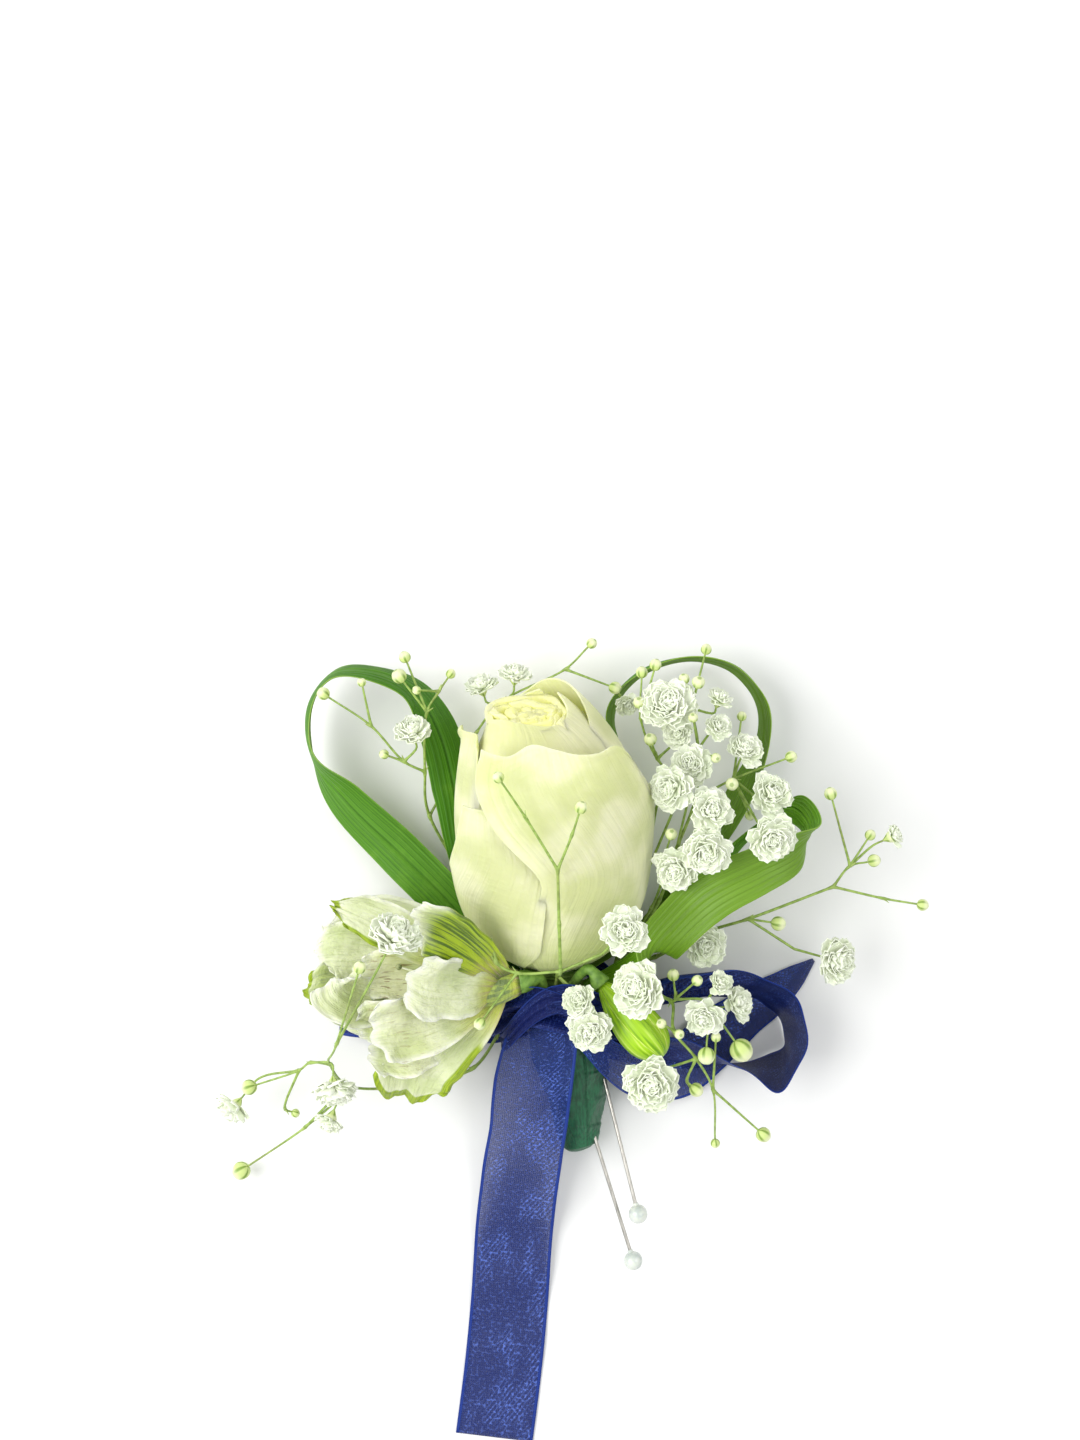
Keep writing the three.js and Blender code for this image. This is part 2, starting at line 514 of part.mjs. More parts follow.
// The sprigs of baby's breath. Joints are places in millimetres; a twig runs through its joints by name
// and ends bare, in a bud or in a bloom.
const SPRIGS = {
  sprig_front: {
    stem: "frontSprig",
    joints: {
      start: [-4.4, 21.2, 21],
      node: [-3.4, 27.4, 31],
      belly: [-3.7, 37, 38.8],
      fork: [-4, 47.8, 42.8],
      east: [4.6, 31.2, 34.4],
      left: [-9.9, 57.5, 45],
      leftBud: [-14.9, 65, 47],
      right: [-1.4, 54.4, 45.2],
      rightBud: [0.2, 59.4, 46.6],
      west: [-11.8, 27, 30],
      westNode: [-15.6, 29, 31],
      curl: [-18.6, 34.8, 33],
      curlTip: [-22, 35, 33],
      hook: [-16.6, 34, 34.5],
      fall: [-18.7, 17.8, 33],
    },
    twigs: [
      { path: "start node belly fork", thick: true },
      { path: "fork left leftBud", bud: 1.1 },
      { path: "fork right rightBud", bud: 1.2 },
      { path: "node east" },
      { path: "node west westNode curl curlTip" },
      { path: "westNode hook" },
      { path: "west fall", bud: 1.2 },
    ],
    blooms: [
      { name: "bloom_01", from: "east", at: [8.4, 36.2, 40], radius: 4.5, face: [-0.05, 0.1, 0.99] },
      { name: "bloom_03", from: "start", at: [1.4, 18, 29], radius: 4.8, face: [-0.2, -0.1, 0.95] },
    ],
  },
  sprig_lower_right: {
    stem: "lowerRightSprig",
    joints: {
      start: [9.4, 19.8, 13.8],
      heart: [18.4, 20.6, 23],
      split: [18.6, 15.6, 28],
      low: [23, 10, 27],
      fork: [26.5, 3.4, 24],
      tipA: [27.3, -7.8, 20],
      tipB: [36.7, -6.1, 20],
      riser: [26.7, 14.3, 28.5],
      drop: [21.3, 5.3, 25.5],
      dropBud: [23, 3.8, 25.5],
      upper: [19, 21.5, 26.5],
      budA: [18.5, 26.2, 28],
      budB: [22.8, 25.6, 31],
      budC: [16, 17.6, 32.5],
      budD: [19.4, 15.4, 31],
      hang: [24.8, 11.2, 29.5],
      halfOpen: [31.7, 11.7, 26],
      east: [25, 21, 27.5],
    },
    twigs: [
      { path: "start heart split low fork tipA", bud: 0.95, thick: true },
      { path: "fork tipB", bud: 1.5 },
      { path: "fork riser", bud: 1 },
      { path: "low drop dropBud", bud: 1.4 },
      { path: "heart upper budA", bud: 1.2 },
      { path: "upper budB", bud: 1.1 },
      { path: "split budC", bud: 1 },
      { path: "split budD", bud: 1 },
      { path: "upper east hang", bud: 1.7 },
      { path: "east halfOpen", bud: 2.3 },
    ],
    blooms: [
      { name: "bloom_02", from: "heart", at: [11, 24.4, 34], radius: 5.1, face: [-0.5, 0.15, 0.85] },
      { name: "bloom_04", from: "low", at: [14.2, 5.3, 29.4], radius: 5.3, face: [0, -0.1, 0.99] },
      { name: "bloom_05", from: "east", at: [24.2, 18.4, 31.6], radius: 3.8, face: [0, -0.35, 0.94] },
      { name: "bloom_06", from: "east", at: [27.4, 25.4, 31.6], radius: 2.6, face: [0.3, 0.5, 0.8] },
      { name: "bloom_07", from: "east", at: [31.8, 20.6, 26], radius: 3.6, face: [0.75, 0.25, 0.6] },
    ],
  },
  sprig_right: {
    stem: "rightSprig",
    joints: {
      start: [7.6, 24.4, 6],
      trunk: [16.5, 39, 12],
      mid: [20, 50, 15.5],
      fork: [23.5, 60, 18],
      crown: [24, 70, 19.5],
      west: [16, 68, 18],
      westTop: [12.5, 76, 22],
      budA: [12.7, 84.9, 22],
      budB: [15.2, 86.3, 25],
      budC: [12, 79, 25.5],
      budD: [25.5, 89.5, 20],
      north: [22.5, 78, 21.5],
      budE: [20.8, 83.6, 25.5],
      budF: [23.4, 82.9, 27],
      budG: [22.3, 76.1, 28.5],
      budH: [26.6, 68.4, 29],
      east: [31, 64, 19],
      budI: [32.6, 76.3, 19],
      budJ: [29.9, 63.3, 27.5],
      budK: [42, 68.4, 21],
      budL: [34, 57, 21],
      budM: [14.4, 71.8, 22.5],
      low: [17.6, 50, 23],
      budN: [18, 53.6, 29],
    },
    twigs: [
      { path: "start trunk mid fork crown north", thick: true },
      { path: "north budD", bud: 1.1 },
      { path: "north budE", bud: 1.1 },
      { path: "north budF", bud: 1.3 },
      { path: "crown budG", bud: 1 },
      { path: "crown budH", bud: 1 },
      { path: "fork west westTop budA", bud: 1.2 },
      { path: "westTop budB", bud: 1.2 },
      { path: "westTop budC", bud: 1.2 },
      { path: "west budM", bud: 1.3 },
      { path: "fork east budK", bud: 1.2 },
      { path: "east budI", bud: 1 },
      { path: "east budJ", bud: 1.3 },
      { path: "east budL", bud: 1 },
      { path: "mid low budN", bud: 1.2 },
    ],
    blooms: [
      { name: "bloom_08", from: "north", at: [17.6, 79, 27.5], radius: 5.2, face: [-0.1, 0.35, 0.92] },
      { name: "bloom_09", from: "west", at: [19.6, 73, 24.5], radius: 3.2, face: [-0.3, 0, 0.95] },
      { name: "bloom_10", from: "crown", at: [22, 67.2, 27.5], radius: 4, face: [-0.15, 0.2, 0.95] },
      { name: "bloom_11", from: "mid", at: [17.4, 62.6, 31.5], radius: 4.3, face: [-0.5, -0.1, 0.85] },
      { name: "bloom_12", from: "fork", at: [25.6, 58.6, 32.5], radius: 4.4, face: [0.15, 0.25, 0.95] },
      { name: "bloom_13", from: "mid", at: [24.4, 50.4, 34.5], radius: 4.6, face: [0, -0.25, 0.96] },
      { name: "bloom_14", from: "low", at: [18.6, 46.6, 30], radius: 4.4, face: [-0.35, -0.3, 0.9] },
      { name: "bloom_15", from: "east", at: [33, 70.4, 24], radius: 3.6, face: [0.2, 0.6, 0.75] },
      { name: "bloom_16", from: "east", at: [38, 61.6, 26.5], radius: 4.2, face: [0.25, 0.3, 0.9] },
      { name: "bloom_17", from: "east", at: [37, 53, 34.6], radius: 4.5, face: [0.15, -0.2, 0.96] },
      { name: "bloom_18", from: "north", at: [28, 80.4, 24.5], radius: 2.6, face: [0.25, 0.75, 0.6] },
      { name: "bloom_19", from: "crown", at: [27.6, 74.6, 25.6], radius: 2.8, face: [0.3, 0.3, 0.9] },
    ],
  },
  sprig_far: {
    stem: "farSprig",
    joints: {
      start: [3.6, 22.6, 4],
      bend: [16.5, 27, 3.6],
      under: [27, 33, 10],
      node: [34.2, 36, 16],
      budA: [40, 35.2, 16.4],
      arm: [50.9, 42.6, 18],
      rise: [54.1, 46.8, 19],
      budB: [58.5, 47.9, 20],
      budC: [58, 52.8, 19],
      reach: [60.8, 40.3, 18],
      tip: [68.5, 39, 18],
      hang: [44, 29.5, 11.5],
      leafTip: [50, 61, 21],
    },
    twigs: [
      { path: "start bend under node arm", thick: true },
      { path: "node budA", bud: 1.5 },
      { path: "arm rise budB", bud: 1.3 },
      { path: "rise budC", bud: 1.1 },
      { path: "arm reach tip", bud: 1.2 },
      { path: "rise leafTip", bud: 1.3 },
      { path: "node hang" },
    ],
    blooms: [
      { name: "bloom_20", from: "under", at: [25.6, 30.6, 17.5], radius: 4.2, face: [0.1, -0.1, 0.98] },
      { name: "bloom_21", from: "hang", at: [52.6, 27.4, 15], radius: 4.6, face: [0.6, -0.1, 0.8] },
      { name: "bloom_22", from: "rise", at: [63, 53.2, 20.5], radius: 2.4, face: [0.8, 0.45, 0.4] },
    ],
  },
  sprig_top_left: {
    stem: "topLeftSprig",
    joints: {
      start: [-12.5, 24.5, 3],
      low: [-21, 40, 1.2],
      side: [-30, 56, 4],
      root: [-30.4, 65.3, 13.5],
      up: [-29.8, 77.3, 17],
      fork: [-27.4, 81.4, 17],
      budA: [-25.2, 84.8, 16],
      budB: [-34, 88, 19],
      budC: [-35, 84.2, 20],
      budD: [-31.6, 81.6, 19.5],
      west: [-34.5, 67.4, 15],
      westFork: [-40.9, 74.5, 17],
      budE: [-50, 80.8, 19.5],
      budF: [-42.5, 83, 20],
      budG: [-38.3, 68.8, 16],
      back: [-20.5, 73, 3.2],
      backFork: [-15, 79.5, 6],
      budH: [3, 91, 13],
      budI: [-2.2, 86, 9.5],
      budJ: [7.6, 82.2, 13.5],
    },
    twigs: [
      { path: "start low side root up fork budA", bud: 1, thick: true },
      { path: "up budB", bud: 1.2 },
      { path: "up budC", bud: 1.5 },
      { path: "fork budD", bud: 0.9 },
      { path: "root west westFork budE", bud: 1.3 },
      { path: "westFork budF", bud: 0.9 },
      { path: "west budG", bud: 1 },
      { path: "side back backFork budI budH", bud: 1.1 },
      { path: "budI budJ", bud: 1.3 },
    ],
    blooms: [
      { name: "bloom_23", from: "west", at: [-32.4, 74.2, 20.5], radius: 3.8, face: [-0.1, 0.75, 0.6] },
      { name: "bloom_24", from: "backFork", at: [-19.6, 83.2, 11], radius: 3.2, face: [-0.3, 0.8, 0.45] },
      { name: "bloom_25", from: "backFork", at: [-12.2, 85.6, 11.5], radius: 3.2, face: [0.1, 0.85, 0.45] },
      { name: "bloom_26", from: "budJ", at: [10.4, 78.6, 15], radius: 2.6, face: [0.3, -0.4, 0.85] },
    ],
  },
  sprig_lower_left: {
    stem: "lowerLeftSprig",
    joints: {
      start: [-11.6, 18.4, 10.6],
      under: [-15.6, 12, 7.6],
      out: [-21, 4.6, 6.6],
      low: [-33, 1.4, 8],
      rise: [-45, 2, 13.5],
      hub: [-48.4, 8.4, 24],
      up: [-45.4, 15, 41],
      budA: [-40.8, 29.6, 44],
      elbow: [-52.4, 8.4, 22],
      knee: [-55, 6.4, 19.5],
      budB: [-65.2, 2.4, 15.5],
      twiglet: [-58.4, -2.3, 14],
      budC: [-56.6, -3.4, 12.5],
      south: [-55, -7, 9],
      budD: [-68.5, -16.8, 4],
    },
    twigs: [
      { path: "start under out low rise hub up budA", bud: 1.2, thick: true },
      { path: "hub elbow knee budB", bud: 1.6 },
      { path: "knee twiglet budC", bud: 0.9 },
      { path: "rise south budD", bud: 1.9 },
    ],
    blooms: [
      { name: "bloom_27", from: "up", at: [-33.8, 36.4, 44.4], radius: 4.9, face: [0.4, 0.75, 0.53] },
      { name: "bloom_28", from: "elbow", at: [-47, 3.2, 28.5], radius: 4.4, face: [0.1, -0.85, 0.3] },
      { name: "bloom_29", from: "south", at: [-49.4, -4.8, 17.5], radius: 3, face: [-0.3, -0.8, 0.35] },
      { name: "bloom_30", from: "knee", at: [-69.6, -3, 13], radius: 3.7, face: [-0.6, -0.7, 0.3] },
    ],
  },
};
const CALYX = { height: 1.8, rim: 1.25, seat: 0.42 };
const BLOOM = { around: 10, rings: 5, crease: 0.78, dome: 0.86 };

// The foot of a bloom's green cup, behind the bloom against the way it faces.
function calyxFoot({ at, radius, face }) {
  return along(vec(at), vec(face).normalize(), -(radius * CALYX.seat + CLEARANCE + CALYX.height));
}

function sprigGreen({ stem, joints, twigs, blooms }) {
  const solids = [];
  for (const { path, bud, thick } of twigs) {
    const points = path.split(" ").map((name) => vec(joints[name]));
    let head = [];
    if (bud) {
      const [before, centre] = points.slice(-2);
      centre.addScaledVector(centre.clone().sub(before).normalize(), -bud);
      head = [0.5, 1.3, 2].map((share, ring) => [share * bud, [0.95, 0.95, 0.25][ring] * bud]);
    }
    solids.push(
      stalk({
        points: thick ? [...rootPoints(stem), ...points] : points,
        startRadius: thick ? TWIG.main : TWIG.side,
        endRadius: TWIG.side,
        sides: bud && !thick ? TWIG.budSides : TWIG.sides,
        head,
      }),
    );
  }
  for (const bloom of blooms) {
    const foot = calyxFoot(bloom);
    const face = vec(bloom.face).normalize();
    const from = vec(joints[bloom.from]);
    const bend = along(foot, face, -0.3 * foot.distanceTo(from));
    solids.push(
      stalk({
        points: [from, bend, foot],
        startRadius: TWIG.side,
        endRadius: TWIG.side,
        head: [[CALYX.height, CALYX.rim]],
        heading: face,
      }),
    );
  }
  return restedOnTable(joined(solids));
}

// A double bloom: a ball whose surface is raised into crowded, staggered petals and is flat below.
function bloomSolid({ radius, face }) {
  const geometry = new THREE.SphereGeometry(1, BLOOM.around, BLOOM.rings);
  const positions = geometry.getAttribute("position");
  const columns = BLOOM.around + 1;
  for (let n = 0; n < positions.count; n += 1) {
    const column = n % columns;
    const ring = Math.floor(n / columns);
    const p = new THREE.Vector3().fromBufferAttribute(positions, n);
    const atPole = ring === 0 || ring === BLOOM.rings;
    const raised = atPole || (column + ring) % 2 ? 1 : BLOOM.crease;
    const height = Math.max(p.y * raised * BLOOM.dome, -CALYX.seat);
    positions.setXYZ(n, p.x * radius * raised, height * radius, p.z * radius * raised);
  }
  geometry.applyQuaternion(toAxis(vec(face).normalize()));
  return solidOf(geometry);
}

// The alstroemeria: six tepals in a funnel, three broad and outer, three narrow and inner.
const ALSTROEMERIA = { throat: [-11.4, 24, 20.4], axis: [-0.975, -0.15, 0.14], squash: 0.72 };
const TEPALS = [
  { azimuth: -24, length: 36, width: 26, flare: 20, cup: 4, curl: 1.5, ring: 2.6 },
  { azimuth: 130, length: 31, width: 22, flare: 14, cup: 3.6, curl: 4, ring: 2.6 },
  { azimuth: 245, length: 45, width: 23, flare: 13, cup: 3, curl: 1, ring: 2.6 },
  { azimuth: 45, length: 35, width: 20, flare: 9, cup: 2.4, curl: 2, ring: 1.8 },
  { azimuth: 193, length: 40, width: 19, flare: 17, cup: 1.8, curl: 3, ring: 1.8 },
  { azimuth: 285, length: 38, width: 19, flare: 11, cup: 1.4, curl: 1, ring: 1.8 },
];
const alstroemeriaAxis = vec(ALSTROEMERIA.axis).normalize();

// The tepals grow along the flower's own +Z, with azimuth 90 facing up once the flower is laid down.
function alstroemeriaMatrix() {
  const forward = alstroemeriaAxis;
  const up = new THREE.Vector3(0, 0, 1).addScaledVector(forward, -forward.z).normalize();
  const right = up.clone().cross(forward);
  up.multiplyScalar(ALSTROEMERIA.squash);
  return new THREE.Matrix4().makeBasis(right, up, forward).setPosition(vec(ALSTROEMERIA.throat));
}

function tepal({ azimuth, length, width, flare, cup, curl, ring }) {
  const angle = degrees(azimuth);
  const out = new THREE.Vector3(Math.cos(angle), Math.sin(angle), 0);
  const across = new THREE.Vector3(-Math.sin(angle), Math.cos(angle), 0);
  return sheet(
    (u, v) => {
      const side = 2 * u - 1;
      const half = (width / 2) * (0.16 + 0.84 * Math.sin(Math.PI * Math.min(1, v ** 1.4 * 0.86)) ** 0.8);
      const radius = ring + flare * v ** 1.5 + curl * v ** 6 - cup * side * side * Math.sin(Math.PI * v * 0.9);
      const reach = Math.sqrt(length * length - flare * flare) * v - 2.5 * side * side * v ** 4;
      return new THREE.Vector3(0, 0, reach).addScaledVector(out, radius).addScaledVector(across, half * side);
    },
    4,
    5,
    TEPAL.thickness,
  );
}

function alstroemeriaBloom() {
  const neck = new THREE.CylinderGeometry(4.4, 2.4, 8, 10).rotateX(Math.PI / 2).translate(0, 0, 4);
  return restedOnTable(moved(joined([solidOf(neck), ...TEPALS.map(tepal)]), alstroemeriaMatrix()));
}

function alstroemeriaStalk() {
  const top = along(vec(ALSTROEMERIA.throat), alstroemeriaAxis, -CLEARANCE);
  const back = along(top, alstroemeriaAxis, -4);
  const knee = vec([-6.2, 20.8, 17.4]);
  const ovary = [
    [1.2, 1.7],
    [4, 2.1],
  ];
  return rootedStalk("alstroemeria", [knee, back], 1, ovary, alstroemeriaAxis);
}

// The bud: six ribbed tepals still folded to a point, on its own stalk.
const BUD = { base: [4.5, 24.2, 22.4], tip: [16.8, 9.6, 22.2], radius: 5.6, ribs: 6, ribDepth: 0.09 };

function alstroemeriaBud() {
  const length = vec(BUD.base).distanceTo(vec(BUD.tip));
  const geometry = new THREE.SphereGeometry(1, BUD.ribs * 2, 9);
  const positions = geometry.getAttribute("position");
  for (let n = 0; n < positions.count; n += 1) {
    const p = new THREE.Vector3().fromBufferAttribute(positions, n);
    const t = (p.y + 1) / 2;
    const swell = 0.42 + 0.75 * t - 0.2 * t * t;
    const rib = 1 + BUD.ribDepth * Math.cos(BUD.ribs * Math.atan2(p.z, p.x));
    const radius = BUD.radius * swell * rib;
    positions.setXYZ(n, p.x * radius, (p.y * length) / 2, p.z * radius);
  }
  const direction = vec(BUD.tip).sub(vec(BUD.base)).normalize();
  geometry.applyQuaternion(toAxis(direction));
  return solidOf(geometry);
}

function budStalk() {
  const direction = vec(BUD.tip).sub(vec(BUD.base)).normalize();
  const seat = along(vec(BUD.base), direction, -CLEARANCE);
  return rootedStalk("bud", [along(seat, direction, -3.4), seat], 1);
}

// The ribbon: one length tied in a bow round the tape. All of it is one body, joined at the knot.
const KNOT = { at: [0.4, 14.4, 20.4], halfSize: [4.2, 4, 2.7] };
const RIBBON_ROUTES = {
  rightLoop: {
    lengthways: 22,
    stops: [
      { at: [0.6, 14.2, 20], side: [0.1, 0.6, 0.6], width: 5 },
      { at: [7.4, 11, 16], side: [0.3, 0.7, 0.6], width: 8 },
      { at: [13, 9.2, 10.4], side: [0.1, 0.6, 0.8], width: 13 },
      { at: [21.5, 7.8, 8.2], side: [0, 0.5, 0.86], width: RIBBON.width },
      { at: [32.5, 5.4, 8.2], side: [0.05, 0.12, 0.99], width: RIBBON.width },
      { at: [40.6, 4, 8.2], side: [0, -0.3, 0.95], width: RIBBON.width },
      { at: [44.6, 9.8, 8.3], side: [0.12, 0, 0.99], width: RIBBON.width },
      { at: [42.6, 17.4, 8.6], side: [0.25, 0.2, 0.95], width: RIBBON.width },
      { at: [36, 21.6, 9.4], side: [0.05, 0.4, 0.92], width: RIBBON.width },
      { at: [26, 22, 9.6], side: [0, 0.45, 0.9], width: 14 },
      { at: [15, 19.6, 8.6], side: [-0.1, 0.4, 0.9], width: 9 },
      { at: [8, 16.4, 11.8], side: [-0.2, 0.5, 0.8], width: 6 },
      { at: [3, 14.8, 19.6], side: [-0.3, 0.6, 0.4], width: 5 },
    ],
  },
  leftLoop: {
    lengthways: 20,
    stops: [
      { at: [-1, 14.6, 20], side: [0, 0.8, 0.3], width: 6 },
      { at: [-8.4, 15, 18.4], side: [0.2, 0.7, 0.6], width: 9 },
      { at: [-15.6, 15.4, 12.8], side: [0.1, 0.7, 0.55], width: 13 },
      { at: [-26, 15.8, 8.8], side: [0.05, 0.93, 0.3], width: RIBBON.width },
      { at: [-40, 16, 7.6], side: [0, 0.98, 0.1], width: RIBBON.width },
      { at: [-48, 16.6, 4.4], side: [-0.05, 0.98, 0.05], width: RIBBON.width },
      { at: [-41, 16.6, 1], side: [0, 0.98, 0], width: RIBBON.width },
      { at: [-28, 15.8, 0.5], side: [0, 0.98, 0], width: RIBBON.width },
      { at: [-17.5, 15, 2.6], side: [0, 0.98, -0.05], width: 12 },
      { at: [-10.8, 14.4, 8.6], side: [0, 0.98, 0], width: 6 },
    ],
  },
  longTail: {
    lengthways: 16,
    stops: [
      { at: [-0.6, 14.6, 20.6], side: [0.9, 0.1, 0.1], width: 6 },
      { at: [-4.4, 9.6, 19.6], side: [0.98, -0.1, 0.1], width: 13 },
      { at: [-7.6, 2.6, 16], side: [0.96, -0.1, 0.25], width: RIBBON.width },
      { at: [-9.8, -7.1, 11], side: [0.96, -0.12, 0.24], width: RIBBON.width },
      { at: [-11.4, -18.3, 6], side: [0.97, -0.12, 0.12], width: RIBBON.width },
      { at: [-12.7, -30.4, 2.2], side: [0.98, -0.12, 0.04], width: RIBBON.width },
      { at: [-13.6, -44.4, 0.6], side: [0.99, -0.12, 0], width: RIBBON.width },
      { at: [-15, -59, 0.4], side: [0.99, -0.12, 0], width: RIBBON.width },
      { at: [-16.8, -73, 0.3], side: [0.99, -0.12, 0], width: RIBBON.width },
    ],
  },
  shortTail: {
    lengthways: 12,
    stops: [
      { at: [1.4, 13.4, 19.8], side: [0.6, 0.6, 0.3], width: 5 },
      { at: [7.4, 8, 17], side: [0.6, 0.6, 0.3], width: 8 },
      { at: [14, 2.6, 9], side: [0.3, 0.8, 0.45], width: 10 },
      { at: [21, 3.4, 3.4], side: [-0.3, 0.9, 0.2], width: 12 },
      { at: [28, 9, 0.8], side: [-0.5, 0.8, 0], width: 12 },
      { at: [34, 14, 0.5], side: [-0.6, 0.7, 0], width: 10 },
      { at: [41, 19, 0.5], side: [-0.6, 0.7, 0], width: 8 },
      { at: [46, 23, 0.5], side: [-0.6, 0.7, 0], width: 4.4 },
      { at: [49.4, 26, 0.5], side: [-0.6, 0.7, 0], width: 0.8 },
    ],
  },
};

// The turn of ribbon that holds the bow to the tape: a ring round the sleeve, in the plane of the knot.
function ribbonTurn() {
  const forward = vec(TAPE_AXIS[5].at).sub(vec(TAPE_AXIS[4].at)).normalize();
  const { middle, radius: inner, halfWidth } = RIBBON_TURN;
  const outer = inner + RIBBON.thickness;
  const ring = new THREE.LatheGeometry(
    [
      [inner, -halfWidth],
      [outer, -halfWidth],
      [outer, halfWidth],
      [inner, halfWidth],
      [inner, -halfWidth],
    ].map(([radius, height]) => new THREE.Vector2(radius, height)),
    20,
  );
  return solidOf(ring.applyQuaternion(toAxis(forward)).translate(...middle));
}

function ribbonBow() {
  const strips = Object.values(RIBBON_ROUTES).map(({ stops, lengthways }) =>
    band(stops, RIBBON.thickness, lengthways, 1),
  );
  const knot = new THREE.SphereGeometry(1, 10, 6).scale(...KNOT.halfSize).translate(...KNOT.at);
  return restedOnTable(joined([...strips, solidOf(knot), ribbonTurn()]));
}

function pinShank(pin) {
  const start = along(vec(pin.pearl), pinDirection(pin), PIN.headRadius + CLEARANCE);
  const shoulder = along(pinPoint(pin), pinDirection(pin), -PIN.point);
  const point = new THREE.CylinderGeometry(0.1, PIN.radius, PIN.point, 6);
  point.applyQuaternion(toAxis(pinDirection(pin)));
  const overlap = 0.01;
  const middle = along(shoulder, pinDirection(pin), PIN.point / 2 - overlap);
  point.translate(middle.x, middle.y, middle.z);
  return rod(start, shoulder, PIN.radius, 6).add(solidOf(point));
}

// Finishes, and the assembly.
const plain = (color, roughness, metalness = 0) => new THREE.MeshStandardMaterial({ color, roughness, metalness });
const FINISH = {
  rose: plain(0xf1f0bd, 0.6),
  calyx: plain(0x6f9440, 0.6),
  leaf: plain(0x3f7f2a, 0.45),
  twig: plain(0xa3b765, 0.6),
  bloom: plain(0xf3f6ee, 0.75),
  alstroemeria: plain(0xeff2df, 0.55),
  bud: plain(0xa9d327, 0.5),
  tape: plain(0x1f5a38, 0.7),
  ribbon: plain(0x24408f, 0.4),
  steel: plain(0xb9b4aa, 0.3, 1),
  pearl: plain(0xf2f5ef, 0.25),
};

function named(name, shape, finish) {
  const geometry = shape.isBufferGeometry ? shape : geometryOf(shape);
  const mesh = new THREE.Mesh(geometry, finish);
  mesh.name = name;
  return mesh;
}

const boutonniere = new THREE.Group();

boutonniere.add(named("rose_bloom", roseBloom(), FINISH.rose));
boutonniere.add(named("rose_calyx_and_stem", roseCalyx(), FINISH.calyx));

for (const [name, leaf] of Object.entries(LEAVES)) {
  boutonniere.add(named(name, loopedLeaf(leaf), FINISH.leaf));
}

for (const [name, sprig] of Object.entries(SPRIGS)) {
  boutonniere.add(named(name, sprigGreen(sprig), FINISH.twig));
  for (const bloom of sprig.blooms) {
    const head = named(bloom.name, bloomSolid(bloom), FINISH.bloom);
    head.position.set(...bloom.at);
    boutonniere.add(head);
  }
}

boutonniere.add(named("alstroemeria_bloom", alstroemeriaBloom(), FINISH.alstroemeria));
boutonniere.add(named("alstroemeria_stalk", alstroemeriaStalk(), FINISH.calyx));
const bud = named("alstroemeria_bud", alstroemeriaBud(), FINISH.bud);
bud.position.copy(vec(BUD.base).lerp(vec(BUD.tip), 0.5));
boutonniere.add(bud, named("alstroemeria_bud_stalk", budStalk(), FINISH.calyx));

boutonniere.add(named("stem_tape", tapedStem(), FINISH.tape));
boutonniere.add(named("ribbon_bow", ribbonBow(), FINISH.ribbon));

for (const [name, pin] of Object.entries(PINS)) {
  boutonniere.add(named(`pin_${name}`, pinShank(pin), FINISH.steel));
  const pearl = named(`pearl_${name}`, new THREE.SphereGeometry(PIN.headRadius, 10, 7), FINISH.pearl);
  pearl.position.set(...pin.pearl);
  boutonniere.add(pearl);
}

export default boutonniere;
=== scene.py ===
"""A boutonniere lying on its back: a cream rose, a white alstroemeria and its bud, six sprigs of
baby's breath and three looped grass leaves, bound in floral tape and tied with an organza bow.

Shapes are worked out in millimetres, in the part's own frame, and become metres as meshes are made."""
import logging
import math
from dataclasses import dataclass, field
from enum import Enum
from functools import partial

import bpy
import numpy as np
from bpy.types import Material, NodeSocket, Object
from mathutils import Matrix, Vector


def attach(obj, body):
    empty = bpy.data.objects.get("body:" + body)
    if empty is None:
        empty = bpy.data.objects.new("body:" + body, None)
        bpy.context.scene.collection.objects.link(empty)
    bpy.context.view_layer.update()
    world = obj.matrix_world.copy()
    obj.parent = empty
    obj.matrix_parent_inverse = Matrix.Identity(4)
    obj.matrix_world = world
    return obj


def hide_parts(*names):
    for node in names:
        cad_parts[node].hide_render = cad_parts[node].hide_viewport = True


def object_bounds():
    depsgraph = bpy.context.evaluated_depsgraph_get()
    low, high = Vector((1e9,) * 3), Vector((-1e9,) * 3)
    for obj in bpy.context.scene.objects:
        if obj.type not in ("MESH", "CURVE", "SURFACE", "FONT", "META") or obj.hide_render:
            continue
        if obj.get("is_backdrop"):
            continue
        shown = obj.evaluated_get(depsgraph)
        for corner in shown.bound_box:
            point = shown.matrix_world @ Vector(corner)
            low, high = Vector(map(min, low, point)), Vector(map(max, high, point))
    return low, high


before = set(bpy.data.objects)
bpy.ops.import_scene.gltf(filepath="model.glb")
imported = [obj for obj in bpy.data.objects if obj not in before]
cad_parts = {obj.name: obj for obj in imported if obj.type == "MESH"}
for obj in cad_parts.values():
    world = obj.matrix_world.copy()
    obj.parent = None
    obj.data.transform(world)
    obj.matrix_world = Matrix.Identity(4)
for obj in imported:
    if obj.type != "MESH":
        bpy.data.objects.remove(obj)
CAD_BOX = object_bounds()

LOG = logging.getLogger("boutonniere")
MM = 0.001
TABLE_GAP = 0.04
# Ways that no path and no flower faces exactly, to start a path's frames and a flower's turn from.
OFF_PATH = (0.31, 0.22, 0.92)
OFF_FACE = (0.13, 0.99, 0.05)
GOLDEN_TURN = math.radians(137.5)
Point = tuple[float, float, float]
Array = np.ndarray
Values = float | Array
UV = tuple[Array, Array]
Sheet = tuple[Array, UV]


# Small tools: vectors, curves, colours and nodes.


def vec(p: Point | Array) -> Array:
    """Returns a point as an array of floats."""
    return np.asarray(p, dtype=float)


